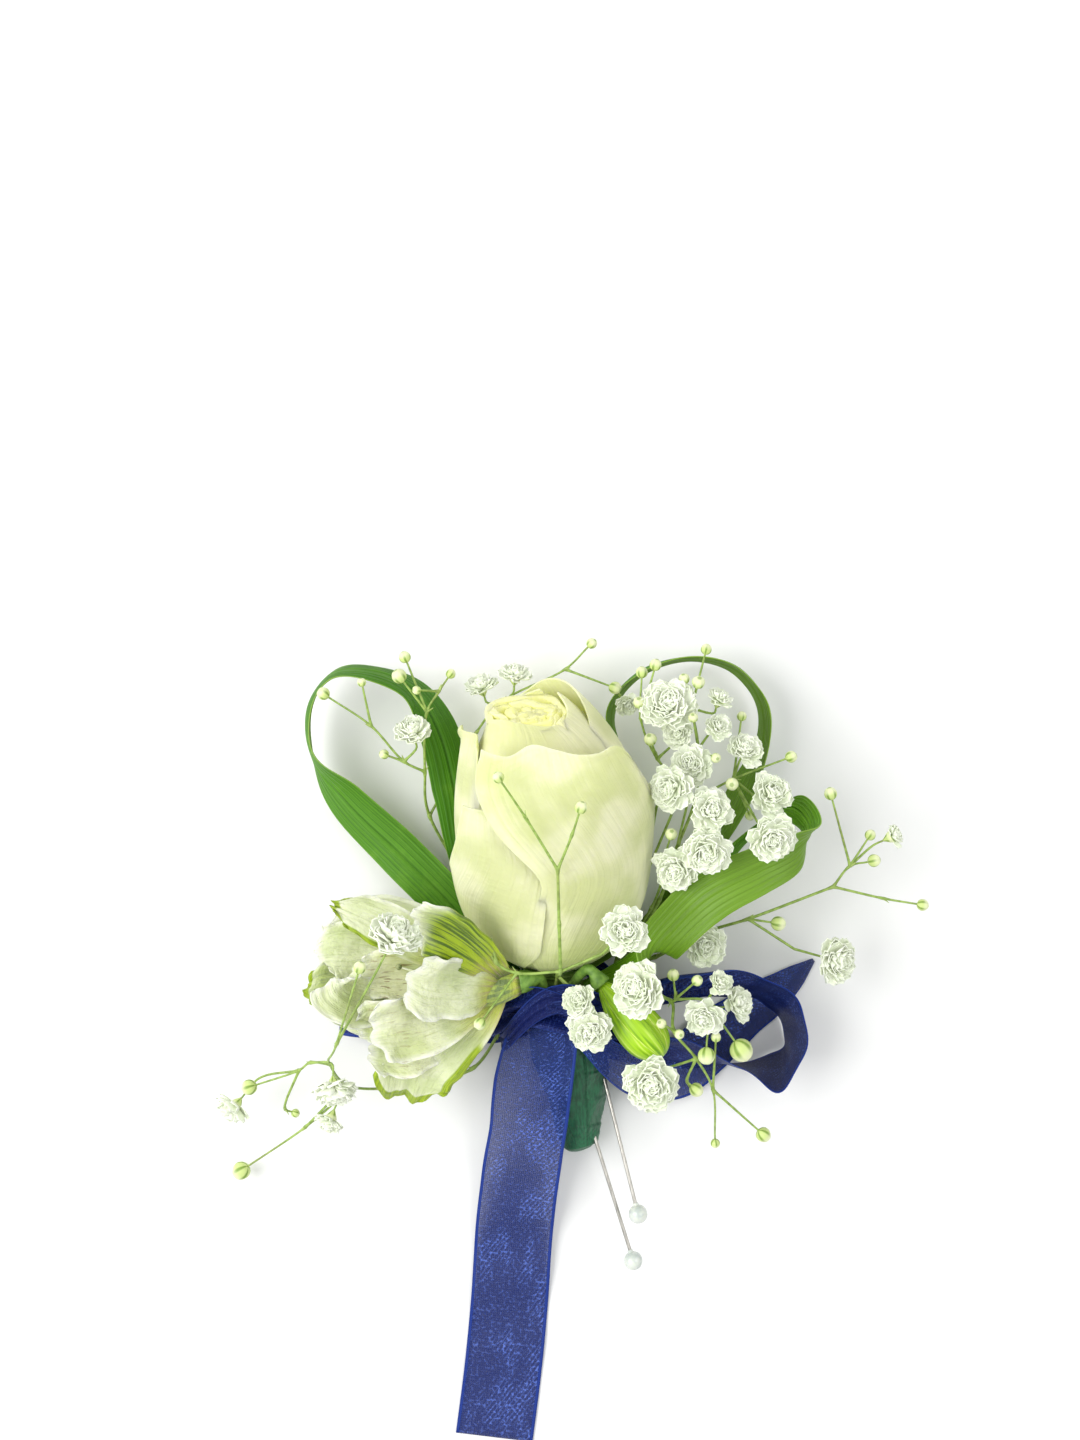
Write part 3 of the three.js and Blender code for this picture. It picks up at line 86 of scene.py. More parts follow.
def unit(v: Point | Array) -> Array:
    """Returns v, or each row of v, at length one."""
    v = vec(v)
    return v / np.maximum(np.linalg.norm(v, axis=-1, keepdims=True), 1e-9)


def mix(a: Values, b: Values, t: Values) -> Values:
    """Returns what lies the share t of the way from a to b."""
    return a + (b - a) * t


def smoothstep(low: float, high: float, x: Array) -> Array:
    """Returns a soft step of x from 0 at low to 1 at high."""
    t = np.clip((x - low) / (high - low), 0, 1)
    return t * t * (3 - 2 * t)


def smooth(stops: Array, places: Array, even: bool = False) -> Array:
    """Follows a smooth curve through its stops.

    Args:
        stops: the points that it passes through, one to a row.
        places: how far along to look, from 0 to 1, each stop taking an equal share.
        even: whether the stops count as evenly spaced, as for directions.

    Returns:
        A point of the curve for each place.
    """
    p = vec(stops)
    last = len(p) - 1
    padded = np.vstack([2 * p[0] - p[1], p, 2 * p[-1] - p[-2]])
    at = np.clip(places, 0, 1) * last
    k = np.minimum(at.astype(int), last - 1)
    w = (at - k)[:, None]
    x0, x1, x2, x3 = (padded[k + i] for i in range(4))
    d0, d1, d2 = (1.0, 1.0, 1.0)
    if not even:
        d0, d1, d2 = (
            np.sqrt(np.maximum(np.linalg.norm(b - a, axis=1, keepdims=True), 1e-2))
            for a, b in ((x0, x1), (x1, x2), (x2, x3))
        )
    m1 = ((x1 - x0) / d0 - (x2 - x0) / (d0 + d1) + (x2 - x1) / d1) * d1
    m2 = ((x2 - x1) / d1 - (x3 - x1) / (d1 + d2) + (x3 - x2) / d2) * d1
    c2 = -3 * x1 + 3 * x2 - 2 * m1 - m2
    c3 = 2 * x1 - 2 * x2 + m1 + m2
    return x1 + m1 * w + c2 * w**2 + c3 * w**3


def steps(count: int) -> Array:
    """Returns so many even steps from 0 to 1."""
    return np.linspace(0, 1, count)


def round_turn(count: int) -> Array:
    """Returns so many even angles round a full turn, from zero."""
    return 2 * math.pi * np.arange(count) / count


def rings_about_z(wide: Array, heights: Array) -> Array:
    """Returns rings round +Z, one at each height, from the radii of their points."""
    angle = round_turn(wide.shape[1])
    return np.stack([wide * np.cos(angle), wide * np.sin(angle), heights[:, None] + 0 * angle], axis=-1)


def facing(direction: Point | Array) -> Array:
    """Returns a 3 by 3 turn, as columns, that takes +Z to the direction."""
    z = unit(direction)
    x = unit(np.cross(OFF_FACE, z))
    return np.column_stack([x, np.cross(z, x), z])


def linear(colour: str) -> tuple[float, float, float, float]:
    """Turns an sRGB hex colour into the linear one that shaders take."""
    parts = [int(colour[i : i + 2], 16) / 255 for i in (1, 3, 5)]
    r, g, b = (c / 12.92 if c <= 0.04045 else ((c + 0.055) / 1.055) ** 2.4 for c in parts)
    return (r, g, b, 1.0)


class Kind(Enum):
    """The kinds of node that the trees are made of, each with its type and its settings."""

    ABSOLUTE = ("ShaderNodeMath", {"operation": "ABSOLUTE"})
    ADD = ("ShaderNodeMath", {"operation": "ADD"})
    DIVIDE = ("ShaderNodeMath", {"operation": "DIVIDE"})
    MAXIMUM = ("ShaderNodeMath", {"operation": "MAXIMUM"})
    MULTIPLY = ("ShaderNodeMath", {"operation": "MULTIPLY"})
    POWER = ("ShaderNodeMath", {"operation": "POWER"})
    SINE = ("ShaderNodeMath", {"operation": "SINE"})
    SUBTRACT = ("ShaderNodeMath", {"operation": "SUBTRACT"})
    SCALE = ("ShaderNodeVectorMath", {"operation": "MULTIPLY"})
    XYZ = ("ShaderNodeCombineXYZ", {})
    SIDES = ("ShaderNodeSeparateXYZ", {})
    COORDINATES = ("ShaderNodeTexCoord", {})
    GROWTH = ("ShaderNodeAttribute", {"attribute_name": "growth"})
    TONE = ("ShaderNodeAttribute", {"attribute_name": "tone"})
    NOISE = ("ShaderNodeTexNoise", {})
    STEP = ("ShaderNodeMapRange", {"interpolation_type": "SMOOTHSTEP"})
    BLEND = ("ShaderNodeMix", {"data_type": "RGBA"})
    BUMP = ("ShaderNodeBump", {})
    GROUP_INPUT = ("NodeGroupInput", {})
    GROUP_OUTPUT = ("NodeGroupOutput", {})
    RANDOM = ("FunctionNodeRandomValue", {"data_type": "FLOAT"})
    ROTATION = ("FunctionNodeEulerToRotation", {})
    AIMED = ("FunctionNodeAlignRotationToVector", {"axis": "Z"})
    INDEX = ("GeometryNodeInputIndex", {})
    NUMBER = ("GeometryNodeInputNamedAttribute", {"data_type": "FLOAT"})
    DIRECTION = ("GeometryNodeInputNamedAttribute", {"data_type": "FLOAT_VECTOR"})
    POINTS = ("GeometryNodePoints", {})
    CIRCLE = ("GeometryNodeCurvePrimitiveCircle", {})
    PATHS = ("GeometryNodeMeshToCurve", {})
    TUBES = ("GeometryNodeCurveToMesh", {})
    SHAPE = ("GeometryNodeObjectInfo", {})
    COPIES = ("GeometryNodeInstanceOnPoints", {})
    COPY_NUMBER = ("GeometryNodeStoreNamedAttribute", {"data_type": "FLOAT", "domain": "INSTANCE"})
    REALIZE = ("GeometryNodeRealizeInstances", {})
    SMOOTH = ("GeometryNodeSetShadeSmooth", {})
    DRESS = ("GeometryNodeSetMaterial", {})


def fill(node: bpy.types.Node, *inputs: object, **named: object) -> None:
    """Fills or links a node's inputs. Colours are sRGB hex text.

    Args:
        node: the node.
        inputs: for its live inputs in order, values or the sockets to link from.
        named: the same for inputs by name, with underscores for spaces.
    """
    pairs = list(zip([socket for socket in node.inputs if socket.enabled], inputs))
    pairs += [(node.inputs[name.replace("_", " ")], value) for name, value in named.items()]
    for socket, value in pairs:
        if isinstance(value, NodeSocket):
            node.id_data.links.new(value, socket)
        else:
            socket.default_value = linear(value) if socket.type == "RGBA" else value


def add_node(tree: bpy.types.NodeTree, kind: Kind, *inputs: object, **named: object) -> NodeSocket:
    """Adds one node with its settings, and fills or links its inputs.

    Args:
        tree: the node tree that gets it.
        kind: what it does.
        inputs: what its live inputs get, in order.
        named: what its inputs get by name.

    Returns:
        Its first live output.
    """
    type_name, settings = kind.value
    node = tree.nodes.new(type_name)
    for name, value in settings.items():
        setattr(node, name, value)
    fill(node, *inputs, **named)
    return next((socket for socket in node.outputs if socket.enabled), None)


# Meshes: thin closed sheets and tubes gathered into one skin.


def sheet_normals(grid: Array) -> Array:
    """Returns the unit normal at each point of a grid, rows by columns."""
    return unit(np.cross(np.gradient(grid, axis=1), np.gradient(grid, axis=0)))


def sheet_sides(rows: int, columns: int) -> tuple[Array, Array, Array]:
    """Returns u and v grids, crowded at the sheet's rims, and how far right u is, from -1 to 1."""
    u = 0.5 - 0.5 * np.cos(math.pi * steps(columns))
    v = np.sin(0.5 * math.pi * steps(rows))
    u, v = np.meshgrid(u, v)
    return u, v, 2 * u - 1


@dataclass
class Skin:
    """Vertices and faces that become one mesh, in millimetres, with a UV map and a growth attribute.

    Growth holds three numbers for each vertex: a tone of its own for each petal or twig, the closeness
    to the rim, and 1 on the inner face or 0 on the outer one."""

    points: list[Array] = field(default_factory=list)
    faces: list[tuple[int, ...]] = field(default_factory=list)
    values: list[Array] = field(default_factory=list)
    count: int = 0

    def take(self, points: Array, faces: Array, *values: Values) -> None:
        """Adds vertices with their U, V and growth, and faces that number them from zero."""
        spread = [np.broadcast_to(value, points.shape[:-1]).ravel() for value in values]
        self.points.append(points.reshape(-1, 3).copy())
        self.values.append(np.column_stack(spread))
        self.faces += map(tuple, (faces + self.count).tolist())
        self.count += len(spread[0])

    def add_sheet(
        self, grid: Array, thickness: Values, uv: UV, tone: Values = 0.0, rim: Values | None = None
    ) -> None:
        """Adds a thin closed sheet.

        Args:
            grid: its middle surface, as rows by columns of points.
            thickness: its thickness, one for all or one for each point.
            uv: the U and V coordinate of each point.
            tone: the first growth number.
            rim: the second growth number, worked out from u and v where it is left out.
        """
        u, v = uv
        back = u.size
        offset = sheet_normals(grid) * (np.broadcast_to(thickness, u.shape)[..., None] / 2)
        inner = np.array([1.0, 0.0])[:, None, None]
        rim = np.maximum(np.abs(2 * u - 1) ** 6, v**8) if rim is None else rim
        index = np.arange(back).reshape(u.shape)
        a, b = index[:-1, :-1].ravel(), index[:-1, 1:].ravel()
        c, d = index[1:, :-1].ravel(), index[1:, 1:].ravel()
        quads = [np.column_stack([a, b, d, c]), np.column_stack([a, c, d, b]) + back]
        for edge in (index[0, ::-1], index[:, 0], index[-1], index[::-1, -1]):
            p, q = edge[:-1], edge[1:]
            quads.append(np.column_stack([q, p, p + back, q + back])[:, ::-1])
        points = np.stack([grid + offset, grid - offset])
        self.take(points, np.concatenate(quads), u, v, tone, rim, inner)

    def add_tube(self, rings: Array, tone: Values = 0.0, rim: Values = 0.0) -> None:
        """Adds a closed tube.

        Args:
            rings: its rings of points, each turning the same way about the way forward.
            tone: the first growth number.
            rim: the second growth number.
        """
        count, sides = rings.shape[:2]
        index = np.arange(count * sides).reshape(count, sides)
        ahead = np.roll(index, -1, axis=1)
        quads = np.stack([index[:-1], ahead[:-1], ahead[1:], index[1:]], axis=-1).reshape(-1, 4)
        ends = [tuple((ring + self.count).tolist()) for ring in (index[0, ::-1], index[-1])]
        self.take(rings, quads, np.arange(sides) / sides, steps(count)[:, None], tone, rim, 0.0)
        self.faces += ends

    def mesh(self, name: str, material: Material) -> bpy.types.Mesh:
        """Returns the mesh in metres, with smooth faces in one material."""
        mesh = bpy.data.meshes.new(name)
        mesh.from_pydata((np.vstack(self.points) * MM).tolist(), [], self.faces)
        corners = np.empty(len(mesh.loops), dtype=np.int32)
        mesh.loops.foreach_get("vertex_index", corners)
        uv_map = mesh.uv_layers.new(name="UVMap")
        values = np.vstack(self.values)
        uv_map.data.foreach_set("uv", values[corners, :2].ravel())
        growth = mesh.attributes.new("growth", "FLOAT_VECTOR", "POINT")
        growth.data.foreach_set("vector", values[:, 2:].ravel())
        mesh.shade_smooth()
        mesh.materials.append(material)
        return mesh

    def build(self, name: str, material: Material, slot: str, node: str) -> Object:
        """Makes the piece, resting on the table, and settles it for its node."""
        for points in self.points:
            points[:, 2] = np.maximum(points[:, 2], TABLE_GAP)
        return settle(linked(name, self.mesh(name, material)), slot, node)


def linked(name: str, mesh: bpy.types.Mesh) -> Object:
    """Returns a new object of the mesh, linked to the scene."""
    thing = bpy.data.objects.new(name, mesh)
    bpy.context.scene.collection.objects.link(thing)
    return thing


def frames_along(path: Array) -> tuple[Array, Array, Array]:
    """Returns the forward, side and up directions along a path, turning as little as they can."""
    forward = unit(np.gradient(path, axis=0))
    side = np.empty_like(forward)
    normal = vec(OFF_PATH)
    for i, ahead in enumerate(forward):
        normal = unit(normal - ahead * normal.dot(ahead))
        side[i] = normal
    return forward, side, np.cross(forward, side)


def tube_rings(path: Array, radius: Values, sides: int) -> Array:
    """Returns rings of points round a path, one ring for each of its points.

    Args:
        path: the points.
        radius: one radius, one for each point, or one for each point and side.
        sides: how many points a ring has.
    """
    _, side, up = frames_along(path)
    angle = round_turn(sides)
    radius = np.asarray(radius, dtype=float)
    radius = radius[:, None] if radius.ndim == 1 else radius
    turned = np.cos(angle)[None, :, None] * side[:, None] + np.sin(angle)[None, :, None] * up[:, None]
    return path[:, None] + np.broadcast_to(radius, (len(path), sides))[..., None] * turned


@dataclass(frozen=True)
class Stop:
    """A stop on a strap's route: its place, the direction of its width there, and its width."""

    at: Point
    side: Point
    width: float


def strap_grid(
    stops: tuple[Stop, ...], u: Array, v: Array, crown: float = 0.0
) -> tuple[Array, Array, Array]:
    """Lays a strap along its route.

    Args:
        stops: the route.
        u: across the strap, from 0 to 1, as a grid.
        v: along the strap, from 0 to 1, as a grid.
        crown: how far its middle stands up, as a share of its width.

    Returns:
        The grid of its points, the unit normals, and the width at each row.
    """
    along = v[:, 0]
    places = smooth([s.at for s in stops], along)
    side = unit(smooth([unit(s.side) for s in stops], along, even=True))
    width = np.interp(along, steps(len(stops)), [s.width for s in stops])
    up = unit(np.cross(side, np.gradient(places, axis=0)))
    across = 2 * u - 1
    grid = places[:, None] + side[:, None] * (across * width[:, None] / 2)[..., None]
    grid += up[:, None] * (crown * width[:, None] * (1 - across**2))[..., None]
    return grid, np.broadcast_to(up[:, None], grid.shape), width


# Geometry Nodes: what repeats or follows a path.


@dataclass
class Grower:
    """A Geometry Nodes tree with named inputs, run once on a mesh and left as a plain mesh."""

    name: str
    sockets: dict[str, str]

    def __post_init__(self) -> None:
        """Starts the tree with its inputs, by name and kind of socket, and with its material's."""
        self.tree = bpy.data.node_groups.new(self.name, "GeometryNodeTree")
        self.add = partial(add_node, self.tree)
        interface = self.tree.interface
        interface.new_socket("Geometry", in_out="INPUT", socket_type="NodeSocketGeometry")
        self.keys = {
            name: interface.new_socket(name, in_out="INPUT", socket_type=f"NodeSocket{kind}").identifier
            for name, kind in {**self.sockets, "Material": "Material"}.items()
        }
        interface.new_socket("Geometry", in_out="OUTPUT", socket_type="NodeSocketGeometry")
        self.start = self.add(Kind.GROUP_INPUT).node.outputs

    def end(self, geometry: NodeSocket) -> None:
        """Ends the tree: real geometry, smooth faces and the material, then the output."""
        soft = self.add(Kind.SMOOTH, self.add(Kind.REALIZE, geometry))
        self.add(Kind.GROUP_OUTPUT, self.add(Kind.DRESS, soft, Material=self.start["Material"]))

    def grow(self, host: Object, name: str, **values: object) -> Object:
        """Runs the tree on a host object and replaces the host by the plain result.

        Args:
            host: the object whose mesh goes in.
            name: the name of the result.
            values: what each named input is set to.

        Returns:
            The plain mesh object.
        """
        modifier = host.modifiers.new(self.name, "NODES")
        modifier.node_group = self.tree
        for key, value in values.items():
            modifier[self.keys[key]] = value
        depsgraph = bpy.context.evaluated_depsgraph_get()
        mesh = bpy.data.meshes.new_from_object(host.evaluated_get(depsgraph), depsgraph=depsgraph)
        mesh.name = name
        host.modifiers.clear()
        old = host.data
        bpy.data.objects.remove(host)
        bpy.data.meshes.remove(old)
        return linked(name, mesh)


def twig_grower() -> Grower:
    """Returns the tree that turns chains of edges, each vertex with its radius, into round twigs."""
    grower = Grower("Twigs", {"Sides": "Int"})
    add, start = grower.add, grower.start
    paths = add(Kind.PATHS, start["Geometry"])
    profile = add(Kind.CIRCLE, start["Sides"], 1.0)
    radius = add(Kind.NUMBER, "radius")
    grower.end(add(Kind.TUBES, paths, profile, radius, True))
    return grower


def tip_grower() -> Grower:
    """Returns the tree that sets a small shape on each vertex, along its aim and at its size."""
    grower = Grower("Tips", {"Head": "Object", "Seed": "Int"})
    add, start = grower.add, grower.start
    head = add(Kind.SHAPE, start["Head"]).node.outputs["Geometry"]
    aim = add(Kind.DIRECTION, "aim")
    size = add(Kind.NUMBER, "size")
    spin = add(Kind.RANDOM, 0.0, 2 * math.pi, Seed=start["Seed"])
    spun = add(Kind.ROTATION, add(Kind.XYZ, 0.0, 0.0, spin))
    turned = add(Kind.AIMED, spun, Vector=aim)
    tips = add(Kind.COPIES, start["Geometry"], Instance=head, Rotation=turned, Scale=size)
    grower.end(tips)
    return grower


def bloom_grower() -> Grower:
    """Returns the tree that crowds copies of one petal into a double bloom facing +Z.

    Each petal turns on by the golden angle. The first stands nearly upright in the heart and the last
    lies back over the green cup, and tilt, turn and size vary a little from petal to petal."""
    grower = Grower("Bloom", {"Petals": "Int", "Seed": "Int"})
    add, start = grower.add, grower.start
    points = add(Kind.POINTS, start["Petals"])
    index = add(Kind.INDEX)
    chances = []
    for order, reach in enumerate((0.16, 0.3, 0.35, 0.12, 0.5)):
        seed = add(Kind.ADD, start["Seed"], order + 1.0)
        chances.append(add(Kind.RANDOM, -reach, reach, Seed=seed))
    tilt, roll, swing, growth, shade = chances
    share = add(Kind.DIVIDE, index, start["Petals"])
    spread = add(Kind.POWER, share, 0.8)
    fall = add(Kind.MULTIPLY, spread, math.radians(-100))
    lean = add(Kind.ADD, fall, math.radians(84))
    pitch = add(Kind.ADD, lean, tilt)
    golden = add(Kind.MULTIPLY, index, GOLDEN_TURN)
    turn = add(Kind.ADD, golden, swing)
    turned = add(Kind.ROTATION, add(Kind.XYZ, pitch, roll, turn))
    widening = add(Kind.ADD, add(Kind.MULTIPLY, spread, 0.38), 0.62)
    size = add(Kind.MULTIPLY, widening, add(Kind.ADD, growth, 1.0))
    petals = add(Kind.COPIES, points, Instance=start["Geometry"], Rotation=turned, Scale=size)
    tone = add(Kind.ADD, shade, 0.5)
    grower.end(add(Kind.COPY_NUMBER, petals, Name="tone", Value=tone))
    return grower


def settle(piece: Object, slot: str, *nodes: str) -> Object:
    """Gives a finished piece its body and hides the CAD solids that it stands for.

    Args:
        piece: the finished object.
        slot: the record's material slot; not used.
        nodes: the CAD nodes that it replaces.

    Returns:
        The same object.
    """
    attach(piece, "root")
    if nodes:
        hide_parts(*nodes)
    LOG.info("%s: %d faces", piece.name, len(piece.data.polygons))
    return piece


# Finishes. Each is named for what the real surface is.


class Shading:
    """A material in the making: its shader, its coordinates, and its colour as laid so far."""

    def __init__(self, name: str, colour: str, **shader: object) -> None:
        """Opens a material.

        Args:
            name: the material's name.
            colour: the colour that the others are laid over.
            shader: what the shader's inputs get, named with underscores for spaces.
        """
        self.material = bpy.data.materials.new(name)
        self.material.use_nodes = True
        self.bsdf = self.material.node_tree.nodes["Principled BSDF"]
        self.add = partial(add_node, self.material.node_tree)
        self.body = colour
        fill(self.bsdf, Subsurface_Radius=(0.9, 1.0, 0.5), **shader)
        coordinates = self.add(Kind.COORDINATES).node.outputs
        self.place = coordinates["Object"]
        self.uv = coordinates["UV"]
        self.across, self.along, _ = self.add(Kind.SIDES, self.uv).node.outputs
        growth = self.add(Kind.GROWTH).node.outputs["Vector"]
        self.tone, self.rim, self.inner = self.add(Kind.SIDES, growth).node.outputs

    def pattern(self, place: NodeSocket, stretch: Point, detail: int) -> NodeSocket:
        """Returns a cloudy pattern that repeats about so many times along each axis of the place."""
        return self.add(Kind.NOISE, self.add(Kind.SCALE, place, stretch), 1, detail)

    def lay(self, colour: str | NodeSocket, where: NodeSocket, *step: float) -> None:
        """Lays a colour over the others.

        Args:
            colour: the colour.
            where: how much of it each place gets.
            step: if given, the soft step that this goes through: from low and high, and to low and high.
        """
        share = self.add(Kind.STEP, where, *step) if step else where
        self.body = self.add(Kind.BLEND, share, self.body, colour)

    def finished(
        self, height: NodeSocket | None = None, depth: float = 0.0, strength: float = 1.0
    ) -> Material:
        """Gives the shader its colour and its relief.

        Args:
            height: the pattern of the relief, if it has one.
            depth: how deep the relief is, in millimetres.
            strength: how strongly it shows.

        Returns:
            The material.
        """
        fill(self.bsdf, Base_Color=self.body)
        if height is not None:
            relief = self.add(Kind.BUMP, Height=height, Distance=depth * MM, Strength=strength)
            fill(self.bsdf, Normal=relief)
        return self.material


@dataclass(frozen=True)
class Finish:
    """A surface as a maker would name it. Each kind adds its colours and makes its own material."""

    name: str


@dataclass(frozen=True)
class RosePetalFinish(Finish):
    """A cream rose's petals: velvety cells that scatter light, so shade stays warm and rims are lit through;
    the heart's petals also emit painted light.
    """

    cream: str = "#ECEEBC"
    shade: str = "#CFD697"
    foot: str = "#C0CE74"
    heart: str = "#FDFCAE"
    # Strength of the painted emission on the heart's petals: painted light, not a lamp.
    painted_glow: float = 0.14

    def make(self) -> Material:
        """Builds the material."""
        s = Shading(
            self.name, self.shade, Roughness=0.55, Subsurface_Weight=0.5, Subsurface_Scale=0.0022,
            Sheen_Weight=0.12, Emission_Color=self.heart,
        )
        # Painted light: the heart's petals emit light, lifting the shade in their folds.
        light = s.add(Kind.MULTIPLY, s.add(Kind.STEP, s.tone, 0.55, 1.0), self.painted_glow)
        fill(s.bsdf, Emission_Strength=light)
        veins = s.pattern(s.uv, (44, 2, 1), 4)
        blotches = s.add(Kind.NOISE, s.place, 90, 2)
        s.lay(self.cream, blotches, 0.35, 0.65)
        s.lay(self.shade, veins, 0.42, 0.68, 0, 0.3)
        s.lay(self.foot, s.along, 0.42, 0.02, 0, 0.85)
        s.lay(self.heart, s.add(Kind.MULTIPLY, s.tone, 0.9))
        ripples = s.pattern(s.uv, (6, 42, 1), 2)
        crumples = s.pattern(s.uv, (5, 7, 1), 3)
        relief = s.add(Kind.ADD, s.add(Kind.MULTIPLY, ripples, 0.6), veins)
        return s.finished(s.add(Kind.ADD, relief, s.add(Kind.MULTIPLY, crumples, 1.5)), 0.32, 0.85)


@dataclass(frozen=True)
class GrassBladeFinish(Finish):
    """A waxy strap leaf: parallel veins under a satin cuticle, a paler rim and a duller underside."""

    root: str = "#5B9418"
    tip: str = "#3F7A0C"
    vein: str = "#2A5A06"
    under: str = "#6D8E26"
    mottle: str = "#86B83A"
    edge: str = "#A9C95A"

    def make(self) -> Material:
        """Builds the material."""
        s = Shading(
            self.name, self.root, Roughness=0.42, Subsurface_Weight=0.1, Subsurface_Scale=0.0008, IOR=1.4
        )
        lines = s.pattern(s.uv, (34, 0.7, 1), 3)
        ribs = s.add(Kind.SINE, s.add(Kind.MULTIPLY, s.across, 2 * math.pi * 17))
        s.lay(self.tip, s.along)
        s.lay(self.vein, lines, 0.38, 0.66, 0, 0.6)
        s.lay(self.vein, ribs, 0.2, 1.0, 0, 0.1)
        mottled = s.pattern(s.place, (160, 160, 160), 4)
        s.lay(self.mottle, mottled, 0.5, 0.8, 0, 0.3)
        outer = s.add(Kind.SUBTRACT, 1.0, s.inner)
        s.lay(self.under, s.add(Kind.MULTIPLY, outer, 0.65))
        s.lay(self.edge, s.rim, 0.75, 1.0, 0, 0.5)
        relief = s.add(Kind.ADD, s.add(Kind.MULTIPLY, ribs, 0.25), lines)
        return s.finished(relief, 0.08, 0.7)


@dataclass(frozen=True)
class TwigFinish(Finish):
    """A thin green stalk: smooth bark, browned here and there at its joints."""

    green: str = "#9DB85A"
    dark: str = "#6F8A36"
    brown: str = "#8C7B55"
    browning: float = 0.3

    def make(self) -> Material:
        """Builds the material."""
        s = Shading(self.name, self.green, Roughness=0.5, Subsurface_Weight=0.1, Subsurface_Scale=0.0005)
        fine = s.pattern(s.place, (900, 900, 900), 2)
        broad = s.pattern(s.place, (70, 70, 70), 2)
        s.lay(self.dark, fine, 0.35, 0.65, 0, 0.7)
        reach = 0.62 - 0.3 * self.browning
        s.lay(self.brown, broad, reach, reach + 0.12, 0, self.browning)
        return s.finished(fine, 0.08, 0.6)


@dataclass(frozen=True)
class FloretFinish(Finish):
    """Baby's breath petals: thin matte white tissue, green where they meet, lit a little by a painted
    emission that stands in for light let through.
    """

    white: str = "#F9FCEE"
    shade: str = "#DEE9C6"
    throat: str = "#C6D884"
    # Strength of the painted emission: painted light standing in for light coming through the petals.
    painted_glow: float = 0.025

    def make(self) -> Material:
        """Builds the material."""
        # Painted light: the petals emit a faint white light of their own.
        s = Shading(
            self.name, self.white, Roughness=0.8, Emission_Strength=self.painted_glow, Emission_Color=self.white
        )
        own = s.add(Kind.TONE).node.outputs["Fac"]
        s.lay(self.shade, s.add(Kind.MULTIPLY, own, 0.55))
        s.lay(self.throat, s.along, 0.5, 0.05)
        return s.finished(s.pattern(s.uv, (12, 2, 1), 2), 0.05, 0.4)


@dataclass(frozen=True)
class SepalFinish(Finish):
    """Buds and cups of baby's breath: five green ribs with pale tissue between them."""

    pale: str = "#CBDC8A"
    rib: str = "#7A9A36"
    tip: str = "#EEF2C6"

    def make(self) -> Material:
        """Builds the material."""
        s = Shading(self.name, self.pale, Roughness=0.5, Subsurface_Weight=0.2, Subsurface_Scale=0.0005)
        s.lay(self.rib, s.tone, 0.5, 0.9, 0, 0.95)
        s.lay(self.tip, s.rim, 0.45, 0.75, 0, 0.8)
        s.lay(self.rib, s.rim, 0.9, 1.0, 0, 0.7)
        return s.finished(s.pattern(s.place, (1500, 1500, 1500), 1), 0.04, 0.5)


